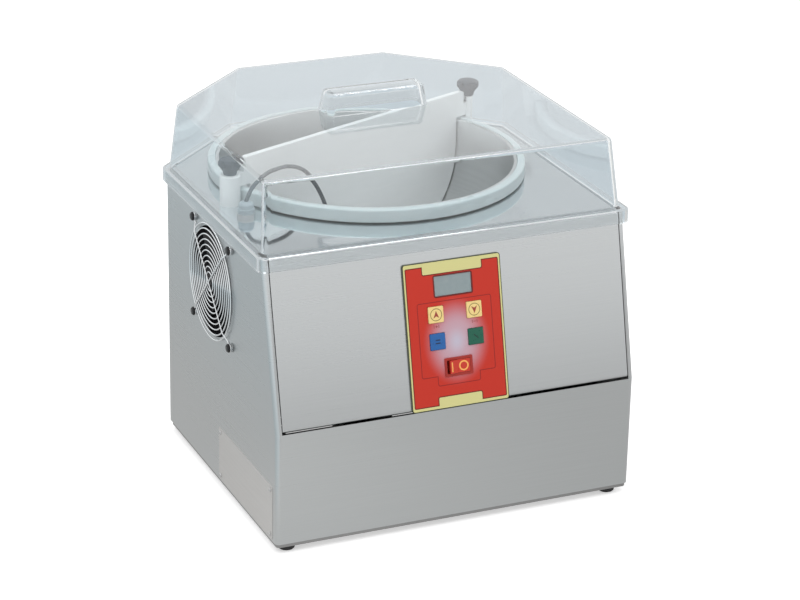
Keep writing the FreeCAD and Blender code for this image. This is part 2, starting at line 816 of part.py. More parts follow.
def motor_bridge():
    """Folded steel bridge over the tray, which carries the gearmotor and the bearing housing."""
    low = tray_floor
    half = bridge_half_length
    path = [(-half - bridge_foot, low + bridge_sheet), (-half, low + bridge_sheet),
            (-half, bridge_top), (half, bridge_top), (half, low + bridge_sheet),
            (half + bridge_foot, low + bridge_sheet)]
    points, radii = folded_outline(path[::-1], bridge_sheet, 2.0)
    wire = outline(points, radii, lambda p: V(p.x, bowl_y - bridge_depth / 2, p.y))
    bridge = Part.Face(wire).extrude(V(0, bridge_depth, 0))
    bridge = bridge.cut(Part.makeCylinder(bearing_outer, 20, V(0, bowl_y, bridge_top - 10)))
    for place in flange_bolt_places() + clip_places():
        bridge = bridge.cut(rod(screw_radius + screw_gap, place - UP * 10, place + UP * 5))
    return bridge.removeSplitter()


def gearmotor():
    """Gearbox flanged up against the bridge, with the motor below it."""
    top = bridge_top - bridge_sheet
    box_end = top - gearbox_height
    motor_end = box_end - motor_height
    body = revolved([(0, motor_end), (motor_radius - 3, motor_end), (motor_radius, motor_end + 3),
                     (motor_radius, box_end), (gearbox_radius, box_end), (gearbox_radius, top),
                     (shaft_radius + bearing_shim, top), (shaft_radius + bearing_shim,
                     top - shaft_socket - 0.2), (0, top - shaft_socket - 0.2)], 0, bowl_y)
    for i in range(10):
        angle = math.radians(36 * i)
        place = V(motor_radius * math.cos(angle), bowl_y + motor_radius * math.sin(angle),
                  motor_end + motor_slot_inset)
        body = body.cut(Part.makeCylinder(motor_slot_radius, motor_height - 2 * motor_slot_inset,
                                          place))
    for place in flange_bolt_places():
        body = body.cut(rod(screw_radius + screw_gap,
                            place - UP * (bridge_sheet + drive_bolt_depth), place))
    return body


def drive_screws():
    """Long screws through the bearing housing and the bridge into the gearbox."""
    made = []
    for place in flange_bolt_places():
        seat = place + UP * housing_flange_thickness
        length = bridge_sheet + housing_flange_thickness + drive_bolt_depth - 1
        made.append(set_on(pan_screw(length), seat, UP))
    return group(made)


# ---------------------------------------------------------------- heater
def heater_z():
    rise = math.sqrt((bowl_knuckle + bowl_sheet) ** 2
                     - (heater_radius - bowl_radius + bowl_knuckle) ** 2)
    return bowl_rim_z - bowl_straight - rise - heater_drop


def heater_element():
    """Tubular heating element: an open ring under the bowl with both ends turned down."""
    z = heater_z()
    half_gap = math.radians(heater_gap_angle / 2)
    centre = V(0, bowl_y, z)

    tube = [V(heater_radius + heater_tube * math.cos(math.radians(a)), 0,
              z + heater_tube * math.sin(math.radians(a))) for a in range(0, 360, 45)]
    ring = Part.Face(Part.makePolygon(tube + tube[:1]))
    ring = ring.revolve(V(0, 0, 0), UP, 360 - heater_gap_angle)
    ring.rotate(V(0, 0, 0), UP, 90 + heater_gap_angle / 2)
    ring.translate(V(0, bowl_y, 0))
    legs = []
    for side in (-1, 1):
        place = centre + V(side * math.sin(half_gap), math.cos(half_gap), 0) * heater_radius
        legs.append(many_sided(heater_tube, place - UP * heater_leg, place + UP * heater_tube, 8))
    return ring.fuse(legs).removeSplitter()


def clip_places():
    spread = math.asin((bridge_depth / 2 - 14) / heater_radius)
    places = []
    for turn in (spread, -spread, math.pi - spread, math.pi + spread):
        places.append(V(heater_radius * math.cos(turn), bowl_y + heater_radius * math.sin(turn),
                        bridge_top))
    return places


def heater_clips():
    """Posts on the bridge with saddles that hold the element."""
    z = heater_z()
    made = []
    for place in clip_places():
        out = V(place.x, place.y - bowl_y, 0).normalize()
        post = many_sided(clip_post_radius, place, V(place.x, place.y, z - heater_tube - 1), 8)
        post = post.fuse(many_sided(screw_radius, place - UP * (bridge_sheet + 2), place))
        saddle = box(-7, -clip_width / 2, -6, 7, clip_width / 2, 1)
        groove = heater_tube + fit_gap
        saddle = saddle.cut(box(-groove, -clip_width, -groove, groove, clip_width, 9))
        saddle.rotate(V(0, 0, 0), UP, math.degrees(math.atan2(out.y, out.x)))
        saddle.translate(V(place.x, place.y, z))
        made.append(post.fuse(saddle))
    return group(made)


# ---------------------------------------------------------------- divider and probe
def divider_frame():
    """Unit vector along the divider and its level normal."""
    along = V(right_stud.x - left_stud.x, right_stud.y - left_stud.y, 0)
    return along.normalize(), V(-along.y, along.x, 0)


def slab(s0, s1, z0, z1, thickness):
    """A plate on the divider's plane, from s0 to s1 measured from the left stud."""
    along, _ = divider_frame()
    plate = box(s0, -thickness / 2, z0, s1, thickness / 2, z1)
    plate.rotate(V(0, 0, 0), UP, math.degrees(math.atan2(along.y, along.x)))
    plate.translate(V(left_stud.x, left_stud.y, 0))
    return plate


def divider():
    """White plate across the bowl: shaped to the bowl below the rim, tongues into both posts."""
    span = math.hypot(right_stud.x - left_stud.x, right_stud.y - left_stud.y)
    over_rim = ring_top + divider_rim_gap
    top = deck_z + divider_rise
    left_end = post_left_radius + 5.5
    right_end = span - post_right_radius - 3.0
    bar = slab(left_end, right_end, over_rim, top, divider_thickness)
    corners = [e for e in bar.Edges if abs(e.CenterOfMass.z - top) < 0.01
               and e.Length < divider_thickness + 0.1]
    bar = bar.makeFillet(3.0, corners)
    blade = slab(0, span, bowl_floor_z + divider_bowl_gap, over_rim + 1, divider_thickness)
    blade = blade.common(bowl_volume(-divider_bowl_gap, over_rim + 2))
    left_tongue = slab(tongue_depth, left_end + 1, over_rim, over_rim + tongue_rise,
                       divider_thickness)
    right_tongue = slab(right_end - 1, span - stud_radius - 1, over_rim, over_rim + tongue_rise,
                        divider_thickness)
    return fused([bar, blade, left_tongue, right_tongue])


def divider_post(stud, radius, height, toward, width):
    """Plastic post over a stud, with a slot that takes the divider's tongue."""
    bore = stud_radius + screw_gap
    post = revolved([(bore, deck_z), (radius, deck_z), (radius, deck_z + height - 1.5),
                     (radius - 1.5, deck_z + height), (bore, deck_z + height)], stud.x, stud.y)
    slot = box(0, -width / 2, deck_z + ring_gap + rim_ring_height, 2 * radius, width / 2,
               deck_z + height + 5)
    slot.rotate(V(0, 0, 0), UP, math.degrees(math.atan2(toward.y, toward.x)))
    slot.translate(V(stud.x, stud.y, 0))
    return post.cut(slot)


def divider_studs():
    """Threaded studs with a flange under the deck."""
    made = []
    for stud, top in ((left_stud, post_left_height), (right_stud, post_right_height)):
        shank = rod(stud_radius, stud - UP * (deck_thickness + 2), stud + UP * (top + 12))
        flange = rod(stud_flange_radius, stud - UP * (deck_thickness + 4),
                     stud - UP * deck_thickness)
        made.append(shank.fuse(flange))
    return group(made)


def star_knob(stud, base):
    """Six-lobed knob with a tapering underside and a neck, bored for its stud."""
    bore = stud_radius + knob_bore_gap
    neck = deck_z + base
    wide = neck + knob_neck
    top = wide + knob_height
    body = revolved([(bore, neck), (knob_neck_radius, neck), (knob_neck_radius + 1, wide - 1),
                     (knob_radius - 1.5, wide + 3.5), (knob_radius, wide + 5), (knob_radius,
                     top - 2), (knob_radius - 2, top), (0, top), (0, neck + 14), (bore,
                     neck + 14)], stud.x, stud.y)
    for i in range(knob_lobes):
        angle = math.radians(360 / knob_lobes * (i + 0.5))
        reach = knob_radius + knob_scallop * 0.55
        place = V(stud.x + reach * math.cos(angle), stud.y + reach * math.sin(angle), wide - 2)
        body = body.cut(Part.makeCylinder(knob_scallop, knob_height + 4, place))
    return body


def probe_spot():
    return round_bowl(ring_outer + probe_gap, probe_angle)


def probe_socket():
    """Panel socket on the deck: hexagonal flange, body below."""
    spot = probe_spot()
    flats = [(spot.x + socket_radius * math.cos(math.radians(60 * i)),
              spot.y + socket_radius * math.sin(math.radians(60 * i))) for i in range(6)]
    body = prism(flats, 1.0, deck_z, deck_z + socket_height)
    return body.fuse(rod(socket_radius / 2, spot - UP * 14, spot))


def probe_plug():
    """Round plug with a wider collar and a short tapered strain relief."""
    spot = probe_spot()
    z = deck_z + socket_height
    top = z + plug_height
    body = revolved([(0, z), (plug_radius, z), (plug_radius, z + 4.5), (plug_radius - 1, z + 5.2),
                     (plug_radius - 1, top - 3), (plug_radius - 2.5, top - 1), (probe_radius + 1.5,
                     top), (0, top)], spot.x, spot.y)
    return body


def route_wire(points, share):
    """Straight runs joined by tangent arcs, each as large as its two runs allow."""
    edges = []
    here = points[0]
    for i in range(1, len(points) - 1):
        back = points[i - 1] - points[i]
        ahead = points[i + 1] - points[i]
        turn = math.pi - back.getAngle(ahead)
        cut = share * min(back.Length, ahead.Length)
        radius = cut / math.tan(turn / 2)
        print("probe bend %d radius %.1f" % (i, radius))
        a = points[i] + back.normalize() * cut
        b = points[i] + ahead.normalize() * cut
        middle_way = (back + ahead).normalize()
        middle = points[i] + middle_way * (radius / math.cos(turn / 2) - radius)
        edges.append(Part.LineSegment(here, a).toShape())
        edges.append(Part.Arc(a, middle, b).toShape())
        here = b
    edges.append(Part.LineSegment(here, points[-1]).toShape())
    return Part.Wire(edges)


def probe_points():
    start = probe_spot() + UP * (socket_height + plug_height)
    return [start + V(*step) for step in probe_route]


def probe_stem():
    """Stiff sheathed stem from the plug over the rim and down into the bowl."""
    points = probe_points()
    seat = points[0].z
    points[0] = points[0] - (points[1] - points[0]).normalize() * probe_radius
    path = route_wire(points, 0.45)
    circle = Part.Wire([Part.makeCircle(probe_radius, points[0], points[1] - points[0])])
    stem = path.makePipeShell([circle], True, True)
    print("stem volume share %.4f" % (stem.Volume / (math.pi * probe_radius ** 2 * path.Length)))
    spot = probe_spot()
    return stem.cut(Part.makeCylinder(plug_radius, plug_height, V(spot.x, spot.y,
                                                                  seat - plug_height)))


def probe_tip():
    """Steel sensor tube on the stem's end."""
    points = probe_points()
    way = (points[-1] - points[-2]).normalize()
    shoulder = points[-1] + way * (probe_tip_length - probe_tip_radius)
    tube = many_sided(probe_tip_radius, points[-1], shoulder, 16)
    nose = many_sided(probe_tip_radius, shoulder, shoulder + way * probe_tip_radius, 16,
                      probe_tip_radius / 3)
    return fused([tube, nose])


# ---------------------------------------------------------------- fan
def fan_frame():
    """Square fan frame with its throat, corner posts, spokes and motor cup on the inner side."""
    x0 = -housing_half_width + sheet
    half = fan_size / 2
    square = [(fan_axis_y - half, fan_axis_z - half), (fan_axis_y + half, fan_axis_z - half),
              (fan_axis_y + half, fan_axis_z + half), (fan_axis_y - half, fan_axis_z + half)]
    wire = outline(square, 5.0, lambda p: V(x0, p.x, p.y))
    frame = Part.Face(wire).extrude(V(fan_depth, 0, 0))
    throat = rod(fan_bore, V(x0 - 1, fan_axis_y, fan_axis_z), V(x0 + fan_depth + 1, fan_axis_y,
                                                               fan_axis_z))
    skin = outline([(y, z) for y, z in square], 5.0, lambda p: V(x0 + 4, p.x, p.y))
    waist = Part.Face(skin).extrude(V(fan_depth - 8, 0, 0))
    waist = waist.cut(rod(fan_bore + fan_wall, V(x0, fan_axis_y, fan_axis_z),
                          V(x0 + fan_depth, fan_axis_y, fan_axis_z)))
    for place in fan_screw_places():
        waist = waist.cut(rod(7.5, V(x0, place.y, place.z), V(x0 + fan_depth, place.y, place.z)))
    frame = frame.cut(waist).cut(throat)
    spokes = []
    x1 = x0 + fan_depth
    for i in range(4):
        arm = box(x1 - 3, -2.5, 0, x1, 2.5, fan_bore + 1)
        arm.rotate(V(0, 0, 0), V(1, 0, 0), 45 + 90 * i)
        arm.translate(V(0, fan_axis_y, fan_axis_z))
        spokes.append(arm)
    cup = rod(fan_hub_radius, V(x1 - 4, fan_axis_y, fan_axis_z), V(x1, fan_axis_y, fan_axis_z))
    pin = rod(fan_pin_radius, V(x0 + 6, fan_axis_y, fan_axis_z), V(x1, fan_axis_y, fan_axis_z))
    frame = frame.fuse(spokes + [cup, pin])
    for place in fan_screw_places():
        frame = frame.cut(rod(fan_screw_radius + screw_gap, V(x0 - 1, place.y, place.z),
                              V(x1 + 1, place.y, place.z)))
    return frame.removeSplitter()


def fan_impeller():
    """Hub cup with pitched blades, running on the frame's pin."""
    x0 = -housing_half_width + sheet + 3.5
    x1 = -housing_half_width + sheet + fan_depth - 4.6
    centre = V(0, fan_axis_y, fan_axis_z)
    hub = rod(fan_hub_radius, centre + V(x0, 0, 0), centre + V(x1, 0, 0))
    cup = rod(fan_hub_radius - 2, centre + V(x0 + 2.5, 0, 0), centre + V(x1 + 1, 0, 0))
    boss = rod(fan_pin_radius + 2.5, centre + V(x0, 0, 0), centre + V(x1, 0, 0))
    bore = rod(fan_pin_radius + bearing_shim, centre + V(x0 + 2.4, 0, 0), centre + V(x1 + 1, 0, 0))
    reach = rod(fan_bore - fan_tip_gap, V(x0, 0, 0), V(x1, 0, 0))
    half = (x1 - x0) / 2 - 1.0
    blades = []
    for i in range(fan_blades):
        corners = [V(-half, 0, -blade_sweep / 2), V(half, 0, blade_sweep / 2),
                   V(half, 0, blade_sweep / 2 + blade_thickness),
                   V(-half, 0, -blade_sweep / 2 + blade_thickness)]
        blade = Part.Face(Part.makePolygon(corners + corners[:1]))
        blade = blade.extrude(V(0, fan_bore, 0))
        blade.translate(V((x0 + x1) / 2, fan_hub_radius - 5, 0))
        blade = blade.common(reach)
        blade.rotate(V(0, 0, 0), V(1, 0, 0), 360 / fan_blades * i)
        blade.translate(centre)
        blades.append(blade)
    return hub.cut(cup).fuse([boss] + blades).cut(bore).removeSplitter()


def fan_guard():
    """Wire guard: concentric rings on two crossing wires that end in eyelets."""
    wall = -housing_half_width
    plane = wall - guard_stand
    rings = []
    for i in range(guard_rings):
        radius = guard_inner + guard_ring_pitch * i
        half = guard_wire
        profile = Part.makePolygon([V(plane + half, radius, 0), V(plane, radius + half, 0),
                                    V(plane - half, radius, 0), V(plane, radius - half, 0),
                                    V(plane + half, radius, 0)])
        ring = Part.Face(profile).revolve(V(0, 0, 0), V(1, 0, 0), 360)
        ring.translate(V(0, fan_axis_y, fan_axis_z))
        rings.append(ring)
    places = fan_screw_places()
    bars = []
    for first, last in ((0, 3), (1, 2)):
        way = (places[last] - places[first]).normalize()
        a = places[first] + way * eyelet_radius
        b = places[last] - way * eyelet_radius
        drop = V(plane - wall - guard_wire, 0, 0)
        inner_a, inner_b = a + way * 9 + drop, b - way * 9 + drop
        level = V(-guard_wire, 0, 0)
        for start, end in ((a + level, inner_a), (inner_a, inner_b), (inner_b, b + level)):
            reach = (end - start).normalize() * (guard_wire / 2)
            bars.append(many_sided(guard_wire, start - reach, end + reach, 6))
    eyelets = []
    for place in places:
        ring = rod(eyelet_radius, place - V(2 * guard_wire, 0, 0), place)
        hole = rod(fan_screw_radius + screw_gap, place - V(9, 0, 0), place + V(9, 0, 0))
        eyelets.append(ring.cut(hole))
    return fused(rings + bars + eyelets)


def fan_screws():
    """Dark screws through the eyelets, the side sheet and the fan's frame."""
    made = []
    for place in fan_screw_places():
        seat = place - V(2 * guard_wire, 0, 0)
        screw = pan_screw(fan_depth + 2, fan_screw_head, 2.6, fan_screw_radius)
        made.append(set_on(screw, seat, V(-1, 0, 0)))
    return group(made)


# ---------------------------------------------------------------- control panel
def key_places():
    return {"button_up": (-key_column, key_row_top), "button_down": (key_column, key_row_top),
            "button_set": (-key_column, key_row_bottom),
            "button_start": (key_column, key_row_bottom)}


def flat_plate(width, height, x, y, z0, z1, radius):
    points = [(x - width / 2, y - height / 2), (x + width / 2, y - height / 2),
              (x + width / 2, y + height / 2), (x - width / 2, y + height / 2)]
    return prism(points, radius, z0, z1)


def fascia():
    """Front plate of the controls, with openings for the display, keys and rocker."""
    plate = flat_plate(fascia_width, fascia_height, 0, fascia_start + fascia_height / 2,
                       0, fascia_thickness, 3.0)
    plate = plate.cut(flat_plate(window_width, window_height, 0, window_centre, -1, 5, 0.8))
    for x, y in key_places().values():
        plate = plate.cut(flat_plate(key_size, key_size, x, y, -1, 5, 0.8))
    plate = plate.cut(flat_plate(rocker_width, rocker_height, 0, rocker_centre, -1, 5, 0.8))
    return on_slant(plate)


def display_window():
    pane = flat_plate(window_width - 0.1, window_height - 0.1, 0, window_centre,
                      fascia_thickness - 0.5 - window_glass, fascia_thickness - 0.5, 0.8)
    return on_slant(pane)


def board_face():
    return -sheet - board_setback


def display_module():
    """Four-digit display block on the board, close behind the window."""
    front = fascia_thickness - 0.5 - window_glass - fit_gap
    return on_slant(flat_plate(window_width - 3, window_height - 3, 0, window_centre,
                               board_face(), front, 0.5))


def key(x, y):
    """A key: cap through the fascia, retaining flange behind it, stem towards its switch."""
    cap = flat_plate(key_size - 2 * key_gap, key_size - 2 * key_gap, x, y, -key_gap,
                     fascia_thickness + key_proud, 1.2)
    top = [e for e in cap.Edges
           if all(abs(v.Point.z - fascia_thickness - key_proud) < 0.01 for v in e.Vertexes)]
    cap = cap.makeChamfer(0.4, top)
    flange = flat_plate(key_size + 2, key_size + 2, x, y, -key_gap - key_flange, -key_gap, 1.0)
    end = board_face() + switch_height + key_travel + 0.2
    stem = many_sided(key_stem_radius, V(x, y, end), V(x, y, -key_gap - key_flange / 2), 8)
    return on_slant(fused([cap, flange, stem]))


def key_switches():
    made = []
    for x, y in key_places().values():
        base = flat_plate(switch_size, switch_size, x, y, board_face(), board_face()
                          + switch_height - 0.8, 0.4)
        plunger = many_sided(1.7, V(x, y, board_face()), V(x, y, board_face() + switch_height), 8)
        made.append(on_slant(base.fuse(plunger)))
    return group(made)


def control_board():
    """Circuit board behind the panel, cut out round the rocker, with a chip and a relay."""
    places = standoff_places()
    y = places[0][1] - board_edge
    top = places[-1][1] + board_edge
    width = 2 * (places[-1][0] + board_edge)
    board = flat_plate(width, top - y, 0, (top + y) / 2, board_face() - board_thickness,
                       board_face(), 2.0)
    for x, yy in places:
        board = board.cut(rod(screw_radius + screw_gap, V(x, yy, -40), V(x, yy, 0)))
    chip = flat_plate(chip_size, chip_size, 0, key_row_bottom + chip_size, board_face(),
                      board_face() + 2.5, 0.4)
    relay = box(relay_x - relay_size / 2, top - relay_inset - relay_size,
                board_face() - board_thickness - relay_depth, relay_x + relay_size / 2,
                top - relay_inset, board_face() - board_thickness)
    return on_slant(board.fuse([chip, relay]))


def standoff_places():
    low = rocker_centre + rocker_height / 2 + 12
    high = cutout_top() - standoff_radius - 3
    half = fascia_width / 2 - cutout_margin - standoff_radius - 2
    return [(-half, low), (half, low), (-half, high), (half, high)]


def board_standoffs():
    """Bushes between the fascia's back and the board, with their screws."""
    made = []
    for x, y in standoff_places():
        bush = many_sided(standoff_radius, V(x, y, board_face()), V(x, y, 0), 6)
        pin = many_sided(screw_radius, V(x, y, board_face() - board_thickness - 2),
                         V(x, y, board_face()), 8)
        made.append(on_slant(bush.fuse(pin)))
    return group(made)


def rocker_frame():
    """Body of the mains switch behind the fascia, open at its front round the rocker."""
    body = flat_plate(rocker_width - 0.2, rocker_height - 0.2, 0, rocker_centre,
                      -rocker_depth, fascia_thickness, 0.6)
    flange = flat_plate(rocker_width + 2.4, rocker_height + 2.4, 0, rocker_centre,
                        fascia_thickness, fascia_thickness + 0.8, 1.0)
    body = body.fuse(flange)
    hollow = flat_plate(rocker_width - 2 * rocker_bezel, rocker_height - 2 * rocker_bezel, 0,
                        rocker_centre, -rocker_depth + 6, fascia_thickness + 5, 0.4)
    body = body.cut(hollow)
    pin_z = -3.0
    half = rocker_height / 2 - 0.1
    body = body.fuse(rod(rocker_pin_radius, V(0, rocker_centre - half, pin_z),
                         V(0, rocker_centre + half, pin_z)))
    tabs = [box(x - 3, rocker_centre - 0.4, -rocker_depth - 8, x + 3, rocker_centre + 0.4,
                -rocker_depth) for x in (-8, 8)]
    return on_slant(fused([body] + tabs))


def rocker():
    """The rocking cap, hollow behind, with a bored rib on the frame's pin."""
    half = rocker_width / 2 - rocker_bezel - 1.3
    pin_z = -3.0
    top = fascia_thickness + 1.0
    width = rocker_height - 2 * rocker_bezel - 0.6
    y0 = rocker_centre - width / 2
    crown = [V(-half, y0, top + 1.6), V(0, y0, top), V(half, y0, top + 1.6),
             V(half - 2.6, y0, pin_z - 3.2), V(-half + 2.6, y0, pin_z - 3.2)]
    cap = Part.Face(Part.makePolygon(crown + crown[:1])).extrude(V(0, width, 0))
    cap = cap.cut(rod(rocker_pin_radius + bearing_shim, V(0, y0 - 1, pin_z),
                      V(0, y0 + width + 1, pin_z)))
    cap.rotate(V(0, rocker_centre, pin_z), V(0, 1, 0), rocker_tilt)
    return on_slant(cap)


# ---------------------------------------------------------------- rating plate, inlet, supply
def rivet_places():
    wall = -housing_half_width
    y0 = front_y + plate_front
    z0 = panel_bottom + plate_rise
    return [V(wall, y, z) for y in (y0 + rivet_inset, y0 + plate_length - rivet_inset)
            for z in (z0 + rivet_inset, z0 + plate_height - rivet_inset)]


def rating_plate():
    wall = -housing_half_width
    y0 = front_y + plate_front
    z0 = panel_bottom + plate_rise
    points = [(y0, z0), (y0 + plate_length, z0), (y0 + plate_length, z0 + plate_height),
              (y0, z0 + plate_height)]
    wire = outline(points, 2.0, lambda p: V(wall - plate_thickness, p.x, p.y))
    plate = Part.Face(wire).extrude(V(plate_thickness, 0, 0))
    for place in rivet_places():
        plate = plate.cut(rod(rivet_radius / 2 + screw_gap, place - V(3, 0, 0), place + V(3, 0, 0)))
    return plate


def plate_rivets():
    made = []
    for place in rivet_places():
        seat = place - V(plate_thickness, 0, 0)
        rivet = pan_screw(plate_thickness + sheet, rivet_radius, 1.4, rivet_radius / 2)
        made.append(set_on(rivet, seat, V(-1, 0, 0)))
    return group(made)


def mains_inlet():
    """Panel inlet for a detachable mains lead: flange, body and three contact blades."""
    x, z = inlet_place()
    flange = box(x - inlet_flange / 2, rear_y, z - inlet_flange_height / 2,
                 x + inlet_flange / 2, rear_y + inlet_flange_thickness, z + inlet_flange_height / 2)
    edges = [e for e in flange.Edges if abs(abs(e.CenterOfMass.x - x) - inlet_flange / 2) < 0.01
             and abs(abs(e.CenterOfMass.z - z) - inlet_flange_height / 2) < 0.01]
    flange = flange.makeFillet(6.0, edges)
    body = box(x - inlet_width / 2, rear_y - inlet_depth, z - inlet_height / 2,
               x + inlet_width / 2, rear_y + 0.5, z + inlet_height / 2)
    body = body.fuse(flange)
    mouth = box(x - 12, rear_y - 16, z - 8, x + 12, rear_y + 5, z + 8)
    body = body.cut(mouth)
    for place in inlet_screw_places():
        body = body.cut(rod(screw_radius + screw_gap, place - V(0, 5, 0), place + V(0, 5, 0)))
    blades = [box(x + a - 1, rear_y - 20, z + b - 2.2, x + a + 1, rear_y - 3, z + b + 2.2)
              for a, b in ((-7, -1.5), (0, 2.5), (7, -1.5))]
    return fused([body] + blades)


def supply_origin():
    return front_y + 34.0, tray_floor + supply_standoff


def supply_corners():
    y0, _ = supply_origin()
    half = supply_length / 2 - 5
    return [(-60 - half, y0 + 5), (-60 + half, y0 + 5), (-60 - half, y0 + supply_depth - 5),
            (-60 + half, y0 + supply_depth - 5)]


def power_supply():
    """Supply board with its transformer, a capacitor and a terminal block."""
    y0, z0 = supply_origin()
    x0 = -60 - supply_length / 2
    board = box(x0, y0, z0, x0 + supply_length, y0 + supply_depth, z0 + board_thickness)
    for x, y in supply_corners():
        board = board.cut(Part.makeCylinder(screw_radius + screw_gap, 10, V(x, y, z0 - 4)))
    top = z0 + board_thickness
    cx, cy = x0 + transformer_inset, y0 + transformer_inset
    core = box(cx, cy, top, cx + transformer_size, cy + transformer_size,
               top + transformer_size * 0.8)
    axis_x, axis_z = cx + transformer_size / 2, top + transformer_size * 0.4
    coil = rod(transformer_size * 0.3, V(axis_x, cy - relay_inset, axis_z),
               V(axis_x, cy + transformer_size + relay_inset, axis_z))
    spot = V(x0 + capacitor_place[0], y0 + capacitor_place[1], top)
    can = rod(capacitor_radius, spot, spot + UP * capacitor_height)
    tx, ty = x0 + terminal_place[0], y0 + terminal_place[1]
    block = box(tx, ty, top, tx + terminal_size[0], ty + terminal_size[1], top + terminal_size[2])
    return fused([board, core, coil, can, block])


def supply_standoffs():
    _, z0 = supply_origin()
    made = []
    for x, y in supply_corners():
        bush = many_sided(standoff_radius, V(x, y, tray_floor), V(x, y, z0), 6)
        pin = many_sided(screw_radius, V(x, y, z0), V(x, y, z0 + board_thickness + 2), 8)
        made.append(bush.fuse(pin))
    return group(made)


# ---------------------------------------------------------------- assembly
def nodes():
    along, _ = divider_frame()
    slot = divider_thickness + 2 * screw_gap
    made = {
        "body_wrap": body_wrap(),
        "upper_front_panel": upper_front_panel(),
        "rear_panel": rear_panel(),
        "base_tray": base_tray(),
        "feet": feet(),
        "top_plate": top_plate(),
        "case_screws": case_screws(),
        "lid": lid(),
        "bowl": bowl(),
        "bowl_rim_ring": bowl_rim_ring(),
        "turntable": turntable(),
        "drive_shaft": drive_shaft(),
        "bearing_housing": bearing_housing(),
        "ball_bearings": ball_bearings(),
        "motor_bridge": motor_bridge(),
        "gearmotor": gearmotor(),
        "drive_screws": drive_screws(),
        "heater_element": heater_element(),
        "heater_clips": heater_clips(),
        "divider": divider(),
        "divider_post_left": divider_post(left_stud, post_left_radius, post_left_height,
                                          along, slot),
        "divider_post_right": divider_post(right_stud, post_right_radius, post_right_height,
                                           along * -1, slot),
        "divider_studs": divider_studs(),
        "knob_left": star_knob(left_stud, post_left_height),
        "knob_right": star_knob(right_stud, post_right_height),
        "probe_socket": probe_socket(),
        "probe_plug": probe_plug(),
        "probe_stem": probe_stem(),
        "probe_tip": probe_tip(),
        "fan_frame": fan_frame(),
        "fan_impeller": fan_impeller(),
        "fan_guard": fan_guard(),
        "fan_screws": fan_screws(),
        "control_fascia": fascia(),
        "display_window": display_window(),
        "display_module": display_module(),
        "key_switches": key_switches(),
        "control_board": control_board(),
        "board_standoffs": board_standoffs(),
        "rocker_frame": rocker_frame(),
        "rocker": rocker(),
        "rating_plate": rating_plate(),
        "plate_rivets": plate_rivets(),
        "mains_inlet": mains_inlet(),
        "power_supply": power_supply(),
        "supply_standoffs": supply_standoffs(),
    }
    for name, (x, y) in key_places().items():
        made[name] = key(x, y)
    return made


os.makedirs("parts", exist_ok=True)
for name, shape in nodes().items():
    solids = shape.Solids
    print("%-20s solids %d valid %s volume %.0f" % (name, len(solids), shape.isValid(), shape.Volume))
    shape.exportStep("parts/%s.step" % name)
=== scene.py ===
import bpy, math
from mathutils import Matrix, Vector


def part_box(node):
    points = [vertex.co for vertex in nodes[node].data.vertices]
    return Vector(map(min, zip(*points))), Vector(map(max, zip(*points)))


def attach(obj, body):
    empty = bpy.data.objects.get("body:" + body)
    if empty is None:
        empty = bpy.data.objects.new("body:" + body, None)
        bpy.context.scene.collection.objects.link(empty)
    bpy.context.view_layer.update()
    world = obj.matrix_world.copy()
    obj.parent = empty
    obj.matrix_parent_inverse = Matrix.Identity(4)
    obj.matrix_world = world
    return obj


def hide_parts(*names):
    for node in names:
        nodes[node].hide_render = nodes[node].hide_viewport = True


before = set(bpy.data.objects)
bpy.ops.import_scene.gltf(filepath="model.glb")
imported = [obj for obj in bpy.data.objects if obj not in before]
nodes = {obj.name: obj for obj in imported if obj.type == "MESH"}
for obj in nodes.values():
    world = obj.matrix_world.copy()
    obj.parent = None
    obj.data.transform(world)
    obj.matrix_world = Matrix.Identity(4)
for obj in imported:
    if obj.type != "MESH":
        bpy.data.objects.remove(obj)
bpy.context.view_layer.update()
scene = bpy.context.scene
radians = math.radians


# ------------------------------------------------------------------ camera
# A short telephoto at the height of a person standing at the worktop, a little
# to the left of the machine, so that its fan side, front and deck all show.
camera = bpy.data.objects.new("camera", bpy.data.cameras.new("camera"))
scene.collection.objects.link(camera)
scene.camera = camera
camera_place = (-1.0593, -2.4401, 1.2548)
camera_turn, camera_tip, camera_roll = radians(-23.98), radians(67.73), radians(1.215)
camera.data.sensor_width = 36
camera.data.lens = 122.2
camera.matrix_world = (Matrix.Translation(camera_place)
                       @ Matrix.Rotation(camera_turn, 4, "Z")
                       @ Matrix.Rotation(camera_tip, 4, "X")
                       @ Matrix.Rotation(camera_roll, 4, "Z"))


# ------------------------------------------------------------------ studio
# A white sweep under soft light from above. The sheets and the deck mirror a room a
# little greyer than the backdrop, a floor with painted shade near the machine, a painted
# pool of light at its front left and a cooler painted tint to the left, and a low grey card
# in front; the clear lid is seen against a soft blue-grey.
scene.view_settings.view_transform = "Standard"


def add(tree, kind, **values):
    """Adds a shader node and sets its properties and its inputs by name."""
    made = tree.nodes.new("ShaderNode" + kind)
    for key, value in values.items():
        name = key.replace("_", " ")
        if hasattr(made, key):
            setattr(made, key, value)
        elif name in made.inputs:
            made.inputs[name].default_value = value
        else:
            made.inputs[int(key[1:])].default_value = value
    return made


def math_node(tree, operation, first, second=None, third=None):
    """A math node fed by sockets or plain numbers; returns its value."""
    made = tree.nodes.new("ShaderNodeMath")
    made.operation = operation
    for slot, value in zip(made.inputs, (first, second, third)):
        if isinstance(value, (int, float)):
            slot.default_value = value
        elif value is not None:
            tree.links.new(value, slot)
    return made.outputs[0]


def colour_mix(tree, share, first, second):
    """Goes from a first colour to a second by a share; a colour is a tone or a socket."""
    mix = add(tree, "Mix", data_type="RGBA")
    slots = [slot for slot in mix.inputs if slot.type == "RGBA"]
    for slot, colour in zip(slots, (first, second)):
        if isinstance(colour, tuple):
            slot.default_value = (*colour, 1)
        else:
            tree.links.new(colour, slot)
    tree.links.new(share, mix.inputs["Factor"])
    return [result for result in mix.outputs if result.type == "RGBA"][0]


